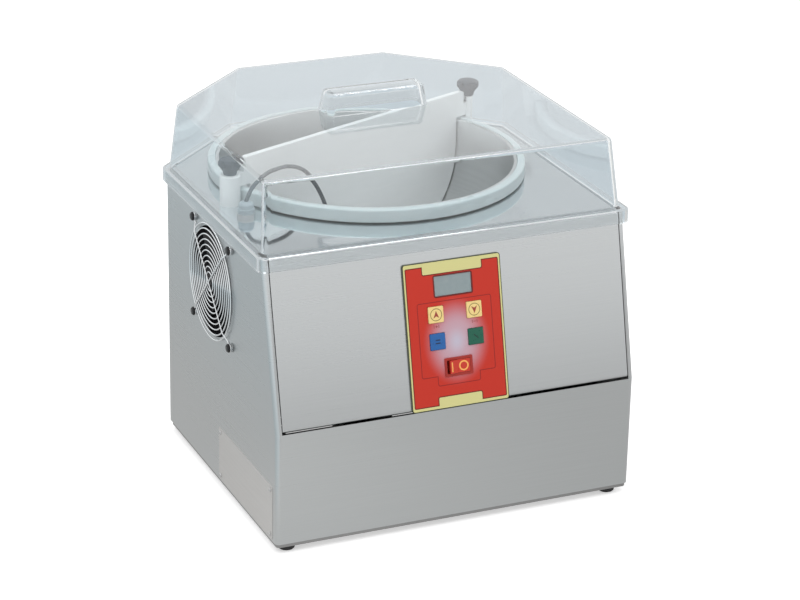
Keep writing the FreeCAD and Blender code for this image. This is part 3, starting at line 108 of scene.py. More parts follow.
def select_only(*pieces):
    """Leaves only these pieces selected, the first of them active."""
    bpy.ops.object.select_all(action="DESELECT")
    for piece in pieces:
        piece.select_set(True)
    if pieces:
        bpy.context.view_layer.objects.active = pieces[0]


world = bpy.data.worlds.new("studio")
scene.world = world
world.use_nodes = True
sky = world.node_tree
sky.nodes.clear()
path = add(sky, "LightPath")
way = add(sky, "TexCoord")
split = add(sky, "SeparateXYZ")
sky.links.new(way.outputs["Generated"], split.inputs[0])
height = add(sky, "MapRange", interpolation_type="SMOOTHSTEP", From_Min=-0.05, From_Max=0.7,
             To_Min=1.04, To_Max=0.84)
sky.links.new(split.outputs["Z"], height.inputs["Value"])
seen = path.outputs["Is Camera Ray"]
bounced = math_node(sky, "MINIMUM", path.outputs["Glossy Depth"], 1.0)
mirrored = math_node(sky, "MULTIPLY", bounced, height.outputs["Result"])
ambient = math_node(sky, "MULTIPLY", path.outputs["Is Diffuse Ray"], 0.62)
level = math_node(sky, "ADD", math_node(sky, "MAXIMUM", seen, mirrored), ambient)
glow = add(sky, "Background", Color=(1, 1, 1, 1))
sky.links.new(level, glow.inputs["Strength"])
through = (0.62, 0.685, 0.725)
backdrop = add(sky, "Background", Color=(*through, 1))
either = add(sky, "MixShader")
direct = math_node(sky, "SUBTRACT", 1.0, bounced)
sky.links.new(math_node(sky, "MULTIPLY", path.outputs["Is Transmission Ray"], direct),
              either.inputs[0])
sky.links.new(glow.outputs[0], either.inputs[1])
sky.links.new(backdrop.outputs[0], either.inputs[2])
out = add(sky, "OutputWorld")
sky.links.new(either.outputs[0], out.inputs[0])

for name, place, aim, size, power in (
        ("key_light", (-1.3, -1.5, 2.1), (0, 0, 0.2), 1.4, 26),
        ("fill_light", (1.9, -0.9, 1.5), (0, 0, 0.25), 1.2, 12),
        ("top_light", (0.1, 0.4, 2.4), (0, 0, 0.3), 1.6, 20)):
    lamp = bpy.data.lights.new(name, "AREA")
    lamp.size = size
    lamp.energy = power
    holder = bpy.data.objects.new(name, lamp)
    holder.location = place
    holder.rotation_euler = (Vector(aim) - Vector(place)).to_track_quat("-Z", "Y").to_euler()
    holder.visible_glossy = False
    scene.collection.objects.link(holder)

select_only()
bpy.ops.mesh.primitive_plane_add(size=14, location=(0, 2.0, 0))
floor = bpy.context.object
floor.name = "floor"
bpy.ops.object.transform_apply(location=True, rotation=True, scale=True)
paper = bpy.data.materials.new("white_sweep")
paper.use_nodes = True
tree = paper.node_tree
tree.nodes.clear()
matt = add(tree, "BsdfDiffuse", Color=(0.86, 0.86, 0.86, 1))
path = add(tree, "LightPath")
spot = add(tree, "TexCoord")
# Painted light in the floor as the metal mirrors it: painted shade near the machine, a painted pool
# of light at the front left and a cooler painted tint to the left.
far = add(tree, "VectorMath", operation="LENGTH")
tree.links.new(spot.outputs["Object"], far.inputs[0])
painted_falloff_near_machine = add(tree, "MapRange", interpolation_type="SMOOTHSTEP", From_Min=0.5, From_Max=2.6,
            To_Min=0.60, To_Max=1.06)
tree.links.new(far.outputs["Value"], painted_falloff_near_machine.inputs["Value"])
painted_pool_distance = add(tree, "VectorMath", operation="DISTANCE")
painted_pool_distance.inputs[1].default_value = (-0.30, -0.50, 0)
tree.links.new(spot.outputs["Object"], painted_pool_distance.inputs[0])
painted_light_pool = add(tree, "MapRange", interpolation_type="SMOOTHSTEP", From_Min=0.05, From_Max=0.6,
           To_Min=0.20, To_Max=0.0)
tree.links.new(painted_pool_distance.outputs["Value"], painted_light_pool.inputs["Value"])
painted_mirror_light = math_node(tree, "ADD", painted_falloff_near_machine.outputs["Result"], painted_light_pool.outputs["Result"])
bright = add(tree, "Emission", Color=(1, 1, 1, 1), Strength=0.45)
lit = add(tree, "AddShader")
tree.links.new(matt.outputs[0], lit.inputs[0])
tree.links.new(bright.outputs[0], lit.inputs[1])
mirrored = add(tree, "Emission")
tree.links.new(painted_mirror_light, mirrored.inputs["Strength"])
across = add(tree, "SeparateXYZ")
tree.links.new(spot.outputs["Object"], across.inputs[0])
painted_cool_tint = add(tree, "MapRange", interpolation_type="SMOOTHSTEP", From_Min=-0.25, From_Max=-0.5)
tree.links.new(across.outputs["X"], painted_cool_tint.inputs["Value"])
tree.links.new(colour_mix(tree, painted_cool_tint.outputs["Result"], (1, 1, 0.99), (0.93, 1.03, 1.07)),
               mirrored.inputs["Color"])
seen = add(tree, "MixShader")
tree.links.new(path.outputs["Is Camera Ray"], seen.inputs[0])
tree.links.new(matt.outputs[0], seen.inputs[1])
tree.links.new(lit.outputs[0], seen.inputs[2])
veiled = add(tree, "Emission", Color=(*through, 1))
behind = add(tree, "MixShader")
tree.links.new(path.outputs["Is Transmission Ray"], behind.inputs[0])
tree.links.new(seen.outputs[0], behind.inputs[1])
tree.links.new(veiled.outputs[0], behind.inputs[2])
both = add(tree, "MixShader")
tree.links.new(math_node(tree, "MINIMUM", path.outputs["Glossy Depth"], 1.0), both.inputs[0])
tree.links.new(behind.outputs[0], both.inputs[1])
tree.links.new(mirrored.outputs[0], both.inputs[2])
out = add(tree, "OutputMaterial")
tree.links.new(both.outputs[0], out.inputs[0])
floor.data.materials.append(paper)

select_only()
bpy.ops.mesh.primitive_plane_add(size=1)
card = bpy.context.object
card.name = "grey_card"
card.scale = (2.4, 0.17, 1)
card.rotation_euler = (math.pi / 2, 0, radians(20))
card.location = (0.55, -1.25, 0.085)
card.visible_camera = False
card.visible_diffuse = False
card.visible_shadow = False
board = bpy.data.materials.new("grey_board")
board.use_nodes = True
tree = board.node_tree
tree.nodes.clear()
grey = add(tree, "Emission", Color=(0.40, 0.40, 0.40, 1))
out = add(tree, "OutputMaterial")
tree.links.new(grey.outputs[0], out.inputs[0])
card.data.materials.append(board)


# ------------------------------------------------------------------ housing
# Three stainless sheets, 1.2 mm thick: the base, sides and lower front folded from one,
# the sloping panel screwed between the sides, and the rear with its cut corners. All are
# ground with a fine grain that runs level round the machine.
def new_material(name, colour, roughness, metallic=0.0):
    """A material with one Principled shader; returns it, its tree and that shader."""
    made = bpy.data.materials.new(name)
    made.use_nodes = True
    shader = made.node_tree.nodes["Principled BSDF"]
    shader.inputs["Base Color"].default_value = (*colour, 1)
    shader.inputs["Roughness"].default_value = roughness
    shader.inputs["Metallic"].default_value = metallic
    return made, made.node_tree, shader


def pattern(tree, kind, stretch=(1, 1, 1), at=(0, 0, 0), **values):
    """A texture on the piece's own coordinates, centred at a point and stretched."""
    spot = add(tree, "TexCoord")
    place = add(tree, "Mapping", vector_type="POINT")
    place.inputs["Location"].default_value = [-a * s for a, s in zip(at, stretch)]
    place.inputs["Scale"].default_value = stretch
    tree.links.new(spot.outputs["Object"], place.inputs["Vector"])
    made = add(tree, kind, **values)
    tree.links.new(place.outputs[0], made.inputs["Vector"])
    return made.outputs[0]


def spread(tree, value, low, high, start=0.0, end=1.0):
    """Takes a value from one range to another, held at both ends."""
    made = add(tree, "MapRange", From_Min=start, From_Max=end, To_Min=low, To_Max=high)
    tree.links.new(value, made.inputs["Value"])
    return made.outputs[0]


def tint(tree, shader, value, first, second):
    """Colours a shader between two tones by a value; returns that colour."""
    colour = colour_mix(tree, value, first, second)
    tree.links.new(colour, shader.inputs["Base Color"])
    return colour


def relief(tree, shader, value, depth):
    """Raises a shader's surface by a value, to a depth in metres."""
    made = add(tree, "Bump", Strength=1.0, Distance=depth)
    tree.links.new(value, made.inputs["Height"])
    tree.links.new(made.outputs[0], shader.inputs["Normal"])


def ground_steel(name, dark, light, low, high, stretch):
    """Stainless sheet ground one way: long faint scratches in tone, gloss and relief."""
    made, tree, shader = new_material(name, light, low, 1.0)
    grain = pattern(tree, "TexNoise", stretch, Scale=1.0, Detail=5.0, Roughness=0.7)
    cloud = pattern(tree, "TexNoise", (3, 3, 3), Scale=1.0, Detail=1.0)
    both = math_node(tree, "ADD", math_node(tree, "MULTIPLY", grain, 0.6),
                     math_node(tree, "MULTIPLY", cloud, 0.4))
    tint(tree, shader, spread(tree, both, 0, 1, 0.3, 0.7), dark, light)
    tree.links.new(spread(tree, both, low, high, 0.3, 0.7), shader.inputs["Roughness"])
    relief(tree, shader, grain, 0.000003)
    return made


def dress(material, *names):
    """Gives CAD nodes their finish."""
    for name in names:
        nodes[name].data.materials.clear()
        nodes[name].data.materials.append(material)


def smooth_copy(node, body, material, angle=32, name=None):
    """A piece with a CAD node's shape, its facets merged and its curves shaded smooth."""
    piece = bpy.data.objects.new(name or node + "_finished", nodes[node].data.copy())
    scene.collection.objects.link(piece)
    select_only(piece)
    bpy.ops.object.mode_set(mode="EDIT")
    bpy.ops.mesh.select_all(action="SELECT")
    bpy.ops.mesh.remove_doubles(threshold=0.000004)
    bpy.ops.mesh.dissolve_limited(angle_limit=radians(0.4))
    bpy.ops.object.mode_set(mode="OBJECT")
    if piece.data.has_custom_normals:
        bpy.ops.mesh.customdata_custom_splitnormals_clear()
    bpy.ops.object.shade_smooth_by_angle(angle=radians(angle))
    weigh = piece.modifiers.new("weigh", "WEIGHTED_NORMAL")
    weigh.keep_sharp = True
    bpy.ops.object.modifier_apply(modifier="weigh")
    piece.data.materials.clear()
    piece.data.materials.append(material)
    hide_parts(node)
    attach(piece, body)
    return piece


sheet_steel = ground_steel("ground_stainless", (0.575, 0.595, 0.60), (0.63, 0.65, 0.655),
                           0.26, 0.32, (5, 5, 900))
for node in ("body_wrap", "upper_front_panel", "rear_panel"):
    smooth_copy(node, "housing", sheet_steel)


# ------------------------------------------------------------------ base
# A plain steel pan closes the underside. Four turned rubber feet are screwed up
# through it, with the dull bloom of moulded rubber.
pan_steel = ground_steel("pan_steel", (0.33, 0.33, 0.33), (0.42, 0.42, 0.42), 0.35, 0.5,
                         (60, 60, 60))
dress(pan_steel, "base_tray")

rubber, tree, shader = new_material("foot_rubber", (0.02, 0.02, 0.021), 0.7)
bloom = pattern(tree, "TexNoise", (1, 1, 1), Scale=220, Detail=6.0)
tint(tree, shader, bloom, (0.014, 0.014, 0.015), (0.04, 0.04, 0.042))
relief(tree, shader, bloom, 0.00008)
smooth_copy("feet", "housing", rubber)


# ------------------------------------------------------------------ deck
# The deck is polished like a mirror and laid on the housing's lips. It carries a
# few wiping marks, and its edge and the collar round the bowl are drawn over.
mirror, tree, shader = new_material("polished_stainless", (0.47, 0.48, 0.485), 0.05, 1.0)
wiped = pattern(tree, "TexNoise", (14, 40, 10), Scale=1.0, Detail=4.0, Distortion=0.6)
tree.links.new(spread(tree, wiped, 0.04, 0.10, 0.4, 0.7), shader.inputs["Roughness"])
tint(tree, shader, wiped, (0.55, 0.58, 0.595), (0.59, 0.62, 0.635))
swell = pattern(tree, "TexNoise", (9, 9, 9), Scale=1.0, Detail=1.0)
relief(tree, shader, swell, 0.00025)
smooth_copy("top_plate", "housing", mirror)

bright, tree, shader = new_material("bright_screw_steel", (0.62, 0.62, 0.62), 0.22, 1.0)
worn = pattern(tree, "TexNoise", (1, 1, 1), Scale=900, Detail=4.0)
tree.links.new(spread(tree, worn, 0.16, 0.38), shader.inputs["Roughness"])
tint(tree, shader, worn, (0.52, 0.52, 0.52), (0.68, 0.68, 0.68))
dress(bright, "case_screws", "drive_screws", "supply_standoffs", "board_standoffs",
      "divider_studs", "plate_rivets", "drive_shaft", "ball_bearings")


# ------------------------------------------------------------------ lid
# The cover is folded and moulded from 3 mm clear sheet: tapering walls, a flat roof
# with a hollow grip drawn up from it, and a skirt that hangs round the deck's edge.
# Where a ray has bounced more than five times, the sheet shows a painted glow: an
# emission that stands in for light passing the sheet many times.
clear, tree, shader = new_material("clear_cover", (0.93, 0.95, 0.96), 0.0)
shader.inputs["Transmission Weight"].default_value = 1.0
shader.inputs["IOR"].default_value = 1.46
haze = pattern(tree, "TexNoise", (30, 30, 30), Scale=1.0, Detail=5.0)
tree.links.new(spread(tree, haze, 0.0, 0.035, 0.5, 0.75), shader.inputs["Roughness"])
drawn = pattern(tree, "TexNoise", (7, 7, 7), Scale=1.0, Detail=1.0)
relief(tree, shader, drawn, 0.0004)
path = add(tree, "LightPath")
thin = add(tree, "BsdfTransparent", Color=(0.93, 0.95, 0.96, 1))
pick = add(tree, "MixShader")
tree.links.new(math_node(tree, "MAXIMUM", path.outputs["Is Shadow Ray"],
                         path.outputs["Is Diffuse Ray"]), pick.inputs[0])
tree.links.new(shader.outputs[0], pick.inputs[1])
tree.links.new(thin.outputs[0], pick.inputs[2])
# Painted glow: a grey-blue emission takes the sheet's place after many bounces.
painted_glow = add(tree, "Emission", Color=(0.58, 0.62, 0.64, 1))
painted_glow_switch = add(tree, "MixShader")
bounces_before_painted_glow = 5.5
tree.links.new(math_node(tree, "GREATER_THAN", path.outputs["Ray Depth"], bounces_before_painted_glow),
               painted_glow_switch.inputs[0])
tree.links.new(pick.outputs[0], painted_glow_switch.inputs[1])
tree.links.new(painted_glow.outputs[0], painted_glow_switch.inputs[2])
tree.links.new(painted_glow_switch.outputs[0], tree.nodes["Material Output"].inputs[0])
smooth_copy("lid", "lid_cover", clear, 40, "clear_lid")


# ------------------------------------------------------------------ bowl
# The bowl is spun from stainless sheet and left satin inside, with fine turning rings
# and a lip turned out into the pale plastic ring that runs round the rim.
bowl_low, bowl_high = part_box("bowl")
bowl_y = (bowl_low.y + bowl_high.y) / 2
spun, tree, shader = new_material("spun_stainless", (0.56, 0.57, 0.57), 0.3, 1.0)
rings = pattern(tree, "TexWave", (1, 1, 1), (0, bowl_y, 0), wave_type="RINGS",
                rings_direction="Z", Scale=160, Distortion=0.0, Detail=0.0)
tree.links.new(spread(tree, rings, 0.29, 0.31), shader.inputs["Roughness"])
tint(tree, shader, rings, (0.575, 0.585, 0.585), (0.60, 0.61, 0.61))


def turned(name, profile, centre, steps=144, crease=35):
    """A closed piece turned on an upright axis from a profile of radius and height."""
    curve = bpy.data.curves.new(name, "CURVE")
    curve.dimensions = "3D"
    line = curve.splines.new("POLY")
    line.points.add(len(profile) - 1)
    for spot, (radius, z) in zip(line.points, profile):
        spot.co = (radius, 0, z, 1)
    line.use_cyclic_u = profile[0][0] > 0
    piece = bpy.data.objects.new(name, curve)
    scene.collection.objects.link(piece)
    select_only(piece)
    bpy.ops.object.convert(target="MESH")
    piece = bpy.context.object
    bpy.ops.object.mode_set(mode="EDIT")
    bpy.ops.mesh.select_all(action="SELECT")
    bpy.ops.mesh.spin(steps=steps, angle=2 * math.pi, center=(0, 0, 0), axis=(0, 0, 1))
    bpy.ops.mesh.select_all(action="SELECT")
    bpy.ops.mesh.remove_doubles(threshold=0.000002)
    bpy.ops.mesh.normals_make_consistent(inside=False)
    bpy.ops.object.mode_set(mode="OBJECT")
    piece.location = centre
    bpy.ops.object.transform_apply(location=True, rotation=True, scale=True)
    bpy.ops.object.shade_smooth_by_angle(angle=radians(crease))
    return piece


def stand_for(piece, body, material, *names):
    """Finishes a new piece that stands for CAD nodes."""
    piece.data.materials.clear()
    piece.data.materials.append(material)
    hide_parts(*names)
    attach(piece, body)


bowl_inside = 0.153
bowl_wall = 0.0012
bowl_curve = 0.096
bowl_straight = 0.028
bowl_lip = 0.004
bowl_steps = 24
mouth_round = 0.0012
rim_z = bowl_high.z
bend_z = rim_z - bowl_straight
inside, outside = [(0, bend_z - bowl_curve)], []
middle = bowl_inside - bowl_curve
wide = bowl_curve + bowl_wall
for i in range(bowl_steps + 1):
    angle = math.pi / 2 * i / bowl_steps
    inside.append((middle + bowl_curve * math.sin(angle), bend_z - bowl_curve * math.cos(angle)))
    outside.append((middle + wide * math.sin(angle), bend_z - wide * math.cos(angle)))
inside += [(bowl_inside, rim_z - mouth_round), (bowl_inside + 0.0004, rim_z - 0.0004),
           (bowl_inside + mouth_round, rim_z), (bowl_inside + bowl_lip - 0.0005, rim_z),
           (bowl_inside + bowl_lip, rim_z - 0.0005), (bowl_inside + bowl_lip, rim_z - 0.001),
           (bowl_inside + bowl_lip - 0.0003, rim_z - bowl_wall),
           (bowl_inside + bowl_wall, rim_z - bowl_wall)]
bowl = turned("spun_bowl", inside + outside[::-1] + [(0, bend_z - bowl_curve - bowl_wall)],
              (0, bowl_y, 0))
stand_for(bowl, "bowl_drive", spun, "bowl")

pale, tree, shader = new_material("pale_ring", (0.74, 0.83, 0.85), 0.28)
shader.inputs["Subsurface Weight"].default_value = 0.4
shader.inputs["Subsurface Radius"].default_value = (0.006, 0.007, 0.007)
shader.inputs["Subsurface Scale"].default_value = 1.0
flow = pattern(tree, "TexNoise", (20, 20, 60), Scale=1.0, Detail=3.0)
tint(tree, shader, flow, (0.50, 0.57, 0.58), (0.60, 0.66, 0.66))
tree.links.new(spread(tree, flow, 0.22, 0.36), shader.inputs["Roughness"])
ring_low, ring_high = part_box("bowl_rim_ring")
ring_fit = 0.0001
ring_foot = 0.001
ring_out = ring_high.x
ring_in = bowl_inside + bowl_wall + ring_fit
lip_out = bowl_inside + bowl_lip + ring_fit
edge = 0.0022
edge_steps = 6
profile = [(ring_in, ring_low.z), (ring_out - ring_foot, ring_low.z),
           (ring_out, ring_low.z + ring_foot)]
for i in range(edge_steps + 1):
    angle = math.pi / 2 * i / edge_steps
    profile.append((ring_out - edge + edge * math.cos(angle),
                    ring_high.z - edge + edge * math.sin(angle)))
profile += [(lip_out + 0.0008, ring_high.z), (lip_out + 0.0002, ring_high.z - 0.0002),
            (lip_out, ring_high.z - 0.0008), (lip_out, rim_z - bowl_wall),
            (ring_in, rim_z - bowl_wall)]
ring = turned("rim_ring", profile, (0, bowl_y, 0))
stand_for(ring, "bowl_drive", pale, "bowl_rim_ring")


# ------------------------------------------------------------------ divider
# A white plastic board stands in the bowl. Its two end posts drop over studs on the
# deck and are held by dark moulded hand knobs with six lobes.
white, tree, shader = new_material("white_board", (0.84, 0.86, 0.85), 0.4)
cut = pattern(tree, "TexNoise", (30, 30, 300), Scale=1.0, Detail=4.0)
tint(tree, shader, cut, (0.80, 0.825, 0.82), (0.88, 0.895, 0.89))
relief(tree, shader, cut, 0.00003)
dress(white, "divider")
smooth_copy("divider_post_left", "housing", white)
smooth_copy("divider_post_right", "housing", white)

knob_dark, tree, shader = new_material("knob_moulding", (0.02, 0.027, 0.045), 0.5)
shader.inputs["Specular IOR Level"].default_value = 0.3
grain = pattern(tree, "TexNoise", (1, 1, 1), Scale=700, Detail=4.0)
tint(tree, shader, grain, (0.010, 0.016, 0.026), (0.022, 0.032, 0.046))
tree.links.new(spread(tree, grain, 0.42, 0.58), shader.inputs["Roughness"])
relief(tree, shader, grain, 0.00005)
smooth_copy("knob_left", "left_knob", knob_dark, 40)
smooth_copy("knob_right", "right_knob", knob_dark, 40)


# ------------------------------------------------------------------ probe
# The temperature probe: a hexagon socket on the deck, a round plug, and a stiff
# sheathed stem that arches over the rim and ends in a steel sensor tube.
sheath, tree, shader = new_material("probe_sheath", (0.03, 0.045, 0.06), 0.42)
skin = pattern(tree, "TexNoise", (1, 1, 1), Scale=500, Detail=3.0)
tint(tree, shader, skin, (0.045, 0.06, 0.07), (0.075, 0.09, 0.10))
relief(tree, shader, skin, 0.00003)
smooth_copy("probe_stem", "housing", sheath, 60)
cap, tree, shader = new_material("plug_moulding", (0.33, 0.39, 0.42), 0.4)
milky = pattern(tree, "TexNoise", (1, 1, 1), Scale=120, Detail=3.0)
tint(tree, shader, milky, (0.30, 0.36, 0.39), (0.38, 0.44, 0.47))
smooth_copy("probe_plug", "housing", cap)
sensor_steel, tree, shader = new_material("turned_steel", (0.6, 0.61, 0.61), 0.2, 1.0)
lines = pattern(tree, "TexNoise", (20, 20, 1500), Scale=1.0, Detail=3.0)
tree.links.new(spread(tree, lines, 0.14, 0.3), shader.inputs["Roughness"])
tint(tree, shader, lines, (0.55, 0.56, 0.56), (0.68, 0.68, 0.68))
smooth_copy("probe_tip", "housing", sensor_steel)
dress(sensor_steel, "probe_socket")


# ------------------------------------------------------------------ fan
# A square axial fan hangs behind the left side. Outside it is a plated wire guard:
# rings welded to two crossing wires, held by four dark screws through its eyelets.
fan_low, fan_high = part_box("fan_guard")
fan_y, fan_z = (fan_low.y + fan_high.y) / 2, (fan_low.z + fan_high.z) / 2
fan_plastic, tree, shader = new_material("fan_plastic", (0.012, 0.012, 0.014), 0.45)
mould = pattern(tree, "TexNoise", (1, 1, 1), Scale=400, Detail=3.0)
tint(tree, shader, mould, (0.008, 0.008, 0.01), (0.025, 0.025, 0.028))
tree.links.new(spread(tree, mould, 0.36, 0.55), shader.inputs["Roughness"])
smooth_copy("fan_frame", "housing", fan_plastic)
smooth_copy("fan_impeller", "fan_rotor", fan_plastic)

plated, tree, shader = new_material("plated_wire", (0.86, 0.88, 0.89), 0.1, 1.0)
dull = pattern(tree, "TexNoise", (1, 1, 1), Scale=300, Detail=4.0)
tree.links.new(spread(tree, dull, 0.06, 0.2, 0.4, 0.8), shader.inputs["Roughness"])
tint(tree, shader, dull, (0.8, 0.82, 0.84), (0.92, 0.93, 0.93))

black_steel, tree, shader = new_material("black_screw", (0.012, 0.012, 0.013), 0.25)
shader.inputs["Specular IOR Level"].default_value = 0.35
oxide = pattern(tree, "TexNoise", (1, 1, 1), Scale=900, Detail=3.0)
tint(tree, shader, oxide, (0.003, 0.003, 0.004), (0.012, 0.012, 0.013))
tree.links.new(spread(tree, oxide, 0.12, 0.3), shader.inputs["Roughness"])
smooth_copy("fan_screws", "housing", black_steel, 50)


def join(pieces, name):
    """Joins finished meshes into one piece."""
    select_only(*pieces)
    bpy.ops.object.join()
    made = bpy.context.object
    made.name = name
    bpy.ops.object.transform_apply(location=True, rotation=True, scale=True)
    return made


def wire_along(points, radius, bevel_steps=3):
    """A round wire bent through points."""
    curve = bpy.data.curves.new("wire", "CURVE")
    curve.dimensions = "3D"
    curve.bevel_depth = radius
    curve.bevel_resolution = bevel_steps
    curve.use_fill_caps = True
    line = curve.splines.new("POLY")
    line.points.add(len(points) - 1)
    for spot, place in zip(line.points, points):
        spot.co = (*place, 1)
    holder = bpy.data.objects.new("wire", curve)
    scene.collection.objects.link(holder)
    select_only(holder)
    bpy.ops.object.convert(target="MESH")
    made = bpy.context.object
    bpy.ops.object.shade_smooth_by_angle(angle=radians(40))
    return made


def wire_ring(radius, place, around, across):
    """A ring of the guard's wire, upright and facing sideways."""
    select_only()
    bpy.ops.mesh.primitive_torus_add(major_radius=radius, minor_radius=wire,
                                     major_segments=around, minor_segments=across,
                                     location=place, rotation=(0, math.pi / 2, 0))
    bpy.ops.object.shade_smooth_by_angle(angle=radians(60))
    return bpy.context.object


wire = 0.0008
wall_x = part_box("body_wrap")[0].x
ring_plane = wall_x - 0.0026
inner_ring = 0.010
ring_pitch = 0.0056
ring_count = 10
parts = [wire_ring(inner_ring + ring_pitch * i, (ring_plane, fan_y, fan_z), 96, 12)
         for i in range(ring_count)]
half_pitch = 0.0524
cross_plane = ring_plane - 2 * wire
for lean in (1, -1):
    run = []
    for share, x in ((-1, wall_x - wire), (-0.935, wall_x - wire), (-0.905, wall_x - 0.0018),
                     (-0.83, cross_plane + 0.0006), (-0.80, cross_plane), (0.80, cross_plane),
                     (0.83, cross_plane + 0.0006), (0.905, wall_x - 0.0018),
                     (0.935, wall_x - wire), (1, wall_x - wire)):
        run.append((x, fan_y + share * half_pitch * 0.96, fan_z + lean * share * half_pitch * 0.96))
    parts.append(wire_along(run, wire))
eyelet = 0.0036
for side in (-1, 1):
    for up in (-1, 1):
        parts.append(wire_ring(eyelet, (wall_x - wire, fan_y + side * half_pitch,
                                        fan_z + up * half_pitch), 32, 10))
guard = join(parts, "wire_guard")
stand_for(guard, "housing", plated, "fan_guard")


# ------------------------------------------------------------------ control panel
# A red plate printed with a pale border sits on the sloping sheet: window for the
# display, four square push keys and a rocker switch in their own openings.
slope = math.atan2(0.0405, 0.1685)
body_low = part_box("body_wrap")[0]
fold_height = 0.119
fascia_x = (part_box("control_fascia")[0].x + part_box("control_fascia")[1].x) / 2
panel_origin = Vector((fascia_x, body_low.y, body_low.z + fold_height))


def panel_point(tree):
    """The point in the panel's own measure: across, up the slope, out from it."""
    spot = add(tree, "TexCoord")
    place = add(tree, "Mapping", vector_type="TEXTURE")
    place.inputs["Location"].default_value = panel_origin
    place.inputs["Rotation"].default_value = (math.pi / 2 - slope, 0, 0)
    tree.links.new(spot.outputs["Object"], place.inputs["Vector"])
    return place.outputs[0]


def edge_distance(tree, point, left, right, low, high, radius):
    """Distance outside a rounded rectangle on the panel, in millimetres."""
    middle = add(tree, "VectorMath", operation="SUBTRACT")
    middle.inputs[1].default_value = ((left + right) / 2000, (low + high) / 2000, 0)
    tree.links.new(point, middle.inputs[0])
    size = add(tree, "VectorMath", operation="ABSOLUTE")
    tree.links.new(middle.outputs[0], size.inputs[0])
    over = add(tree, "VectorMath", operation="SUBTRACT")
    over.inputs[1].default_value = ((right - left) / 2000 - radius / 1000,
                                    (high - low) / 2000 - radius / 1000, 1)
    tree.links.new(size.outputs[0], over.inputs[0])
    parts = add(tree, "SeparateXYZ")
    tree.links.new(over.outputs[0], parts.inputs[0])
    x, y = parts.outputs[0], parts.outputs[1]
    inside = math_node(tree, "MINIMUM", math_node(tree, "MAXIMUM", x, y), 0.0)
    x, y = math_node(tree, "MAXIMUM", x, 0.0), math_node(tree, "MAXIMUM", y, 0.0)
    outside = math_node(tree, "SQRT", math_node(tree, "ADD", math_node(tree, "MULTIPLY", x, x),
                                                math_node(tree, "MULTIPLY", y, y)))
    total = math_node(tree, "ADD", inside, outside)
    return math_node(tree, "MULTIPLY_ADD", total, 1000.0, -radius)


def within(tree, distance, limit=0.0):
    """One where a distance is under a limit, with a printed edge 0.1 mm soft."""
    return spread(tree, distance, 1.0, 0.0, limit - 0.05, limit + 0.05)


def ink(tree, below, share, colour):
    """Prints a colour over what is below, where share is one."""
    return colour_mix(tree, share, below, colour)


print_red = (0.50, 0.026, 0.012)
deep_red = (0.13, 0.010, 0.008)
border = (0.60, 0.57, 0.25)
olive = (0.045, 0.055, 0.03)
blush = (0.50, 0.34, 0.40)
centre = (0.48, 0.53, 0.64)
line_ink = (0.24, 0.012, 0.010)
sign_ink = (0.20, 0.03, 0.02)
key_column = 20.8
sign_height = 84.2
arrow_height = 96.4
printed, tree, shader = new_material("printed_fascia", print_red, 0.3)
point = panel_point(tree)
plate_edge = edge_distance(tree, point, -53, 53, 0.8, 149.8, 3)
field = edge_distance(tree, point, -50.6, 50.6, 4.2, 145.4, 1.6)
top_tab = edge_distance(tree, point, -32, 32, 137.2, 160, 1.5)
low_tab = edge_distance(tree, point, -23.5, 23.5, -20, 12.6, 1.5)
field = math_node(tree, "MAXIMUM", field, math_node(tree, "MULTIPLY", top_tab, -1.0))
field = math_node(tree, "MAXIMUM", field, math_node(tree, "MULTIPLY", low_tab, -1.0))
spot = add(tree, "VectorMath", operation="SUBTRACT")
spot.inputs[1].default_value = (0, 0.067, 0)
tree.links.new(point, spot.inputs[0])
wide = add(tree, "VectorMath", operation="MULTIPLY")
wide.inputs[1].default_value = (1.08, 0.88, 0)
tree.links.new(spot.outputs[0], wide.inputs[0])
length = add(tree, "VectorMath", operation="LENGTH")
tree.links.new(wide.outputs[0], length.inputs[0])
halo = add(tree, "MapRange", interpolation_type="SMOOTHSTEP", From_Min=0.014, From_Max=0.041,
           To_Min=0.92, To_Max=0.0)
tree.links.new(length.outputs["Value"], halo.inputs["Value"])
core = add(tree, "MapRange", interpolation_type="SMOOTHSTEP", From_Min=0.0, From_Max=0.016,
           To_Min=0.6, To_Max=0.0)
tree.links.new(length.outputs["Value"], core.inputs["Value"])
line_box = edge_distance(tree, point, -40, 40, 34, 109, 2)
line_step = edge_distance(tree, point, -23, 23, 24.3, 60, 2)
line = math_node(tree, "ABSOLUTE", math_node(tree, "MINIMUM", line_box, line_step))
pane = edge_distance(tree, point, -20, 20, 114.2, 134.2, 1)
signs = None
for x, plus in ((-key_column, True), (key_column, False)):
    t = sign_height
    strokes = [edge_distance(tree, point, x - 1.3, x + 1.3, t - 0.25, t + 0.25, 0.1)]
    if plus:
        strokes.append(edge_distance(tree, point, x - 0.25, x + 0.25, t - 1.3, t + 1.3, 0.1))
    for side in (-1, 1):
        strokes.append(edge_distance(tree, point, x + side * 2.6 - 0.25, x + side * 2.6 + 0.25,
                                     t - 1.6, t + 1.6, 0.2))
    for stroke in strokes:
        signs = stroke if signs is None else math_node(tree, "MINIMUM", signs, stroke)
face = ink(tree, print_red, halo.outputs[0], blush)
face = ink(tree, face, core.outputs[0], centre)
face = ink(tree, face, within(tree, line, 0.4), line_ink)
face = ink(tree, face, within(tree, signs), sign_ink)
face = ink(tree, face, within(tree, pane, 1.5), deep_red)
base = ink(tree, border, within(tree, field), deep_red)
inner = ink(tree, base, within(tree, field, -1.0), face)
final = ink(tree, inner, within(tree, math_node(tree, "MULTIPLY", plate_edge, -1.0), 0.8),
            olive)
tree.links.new(final, shader.inputs["Base Color"])
shader.inputs["Specular IOR Level"].default_value = 0.35
gloss = pattern(tree, "TexNoise", (1, 1, 1), Scale=120, Detail=3.0)
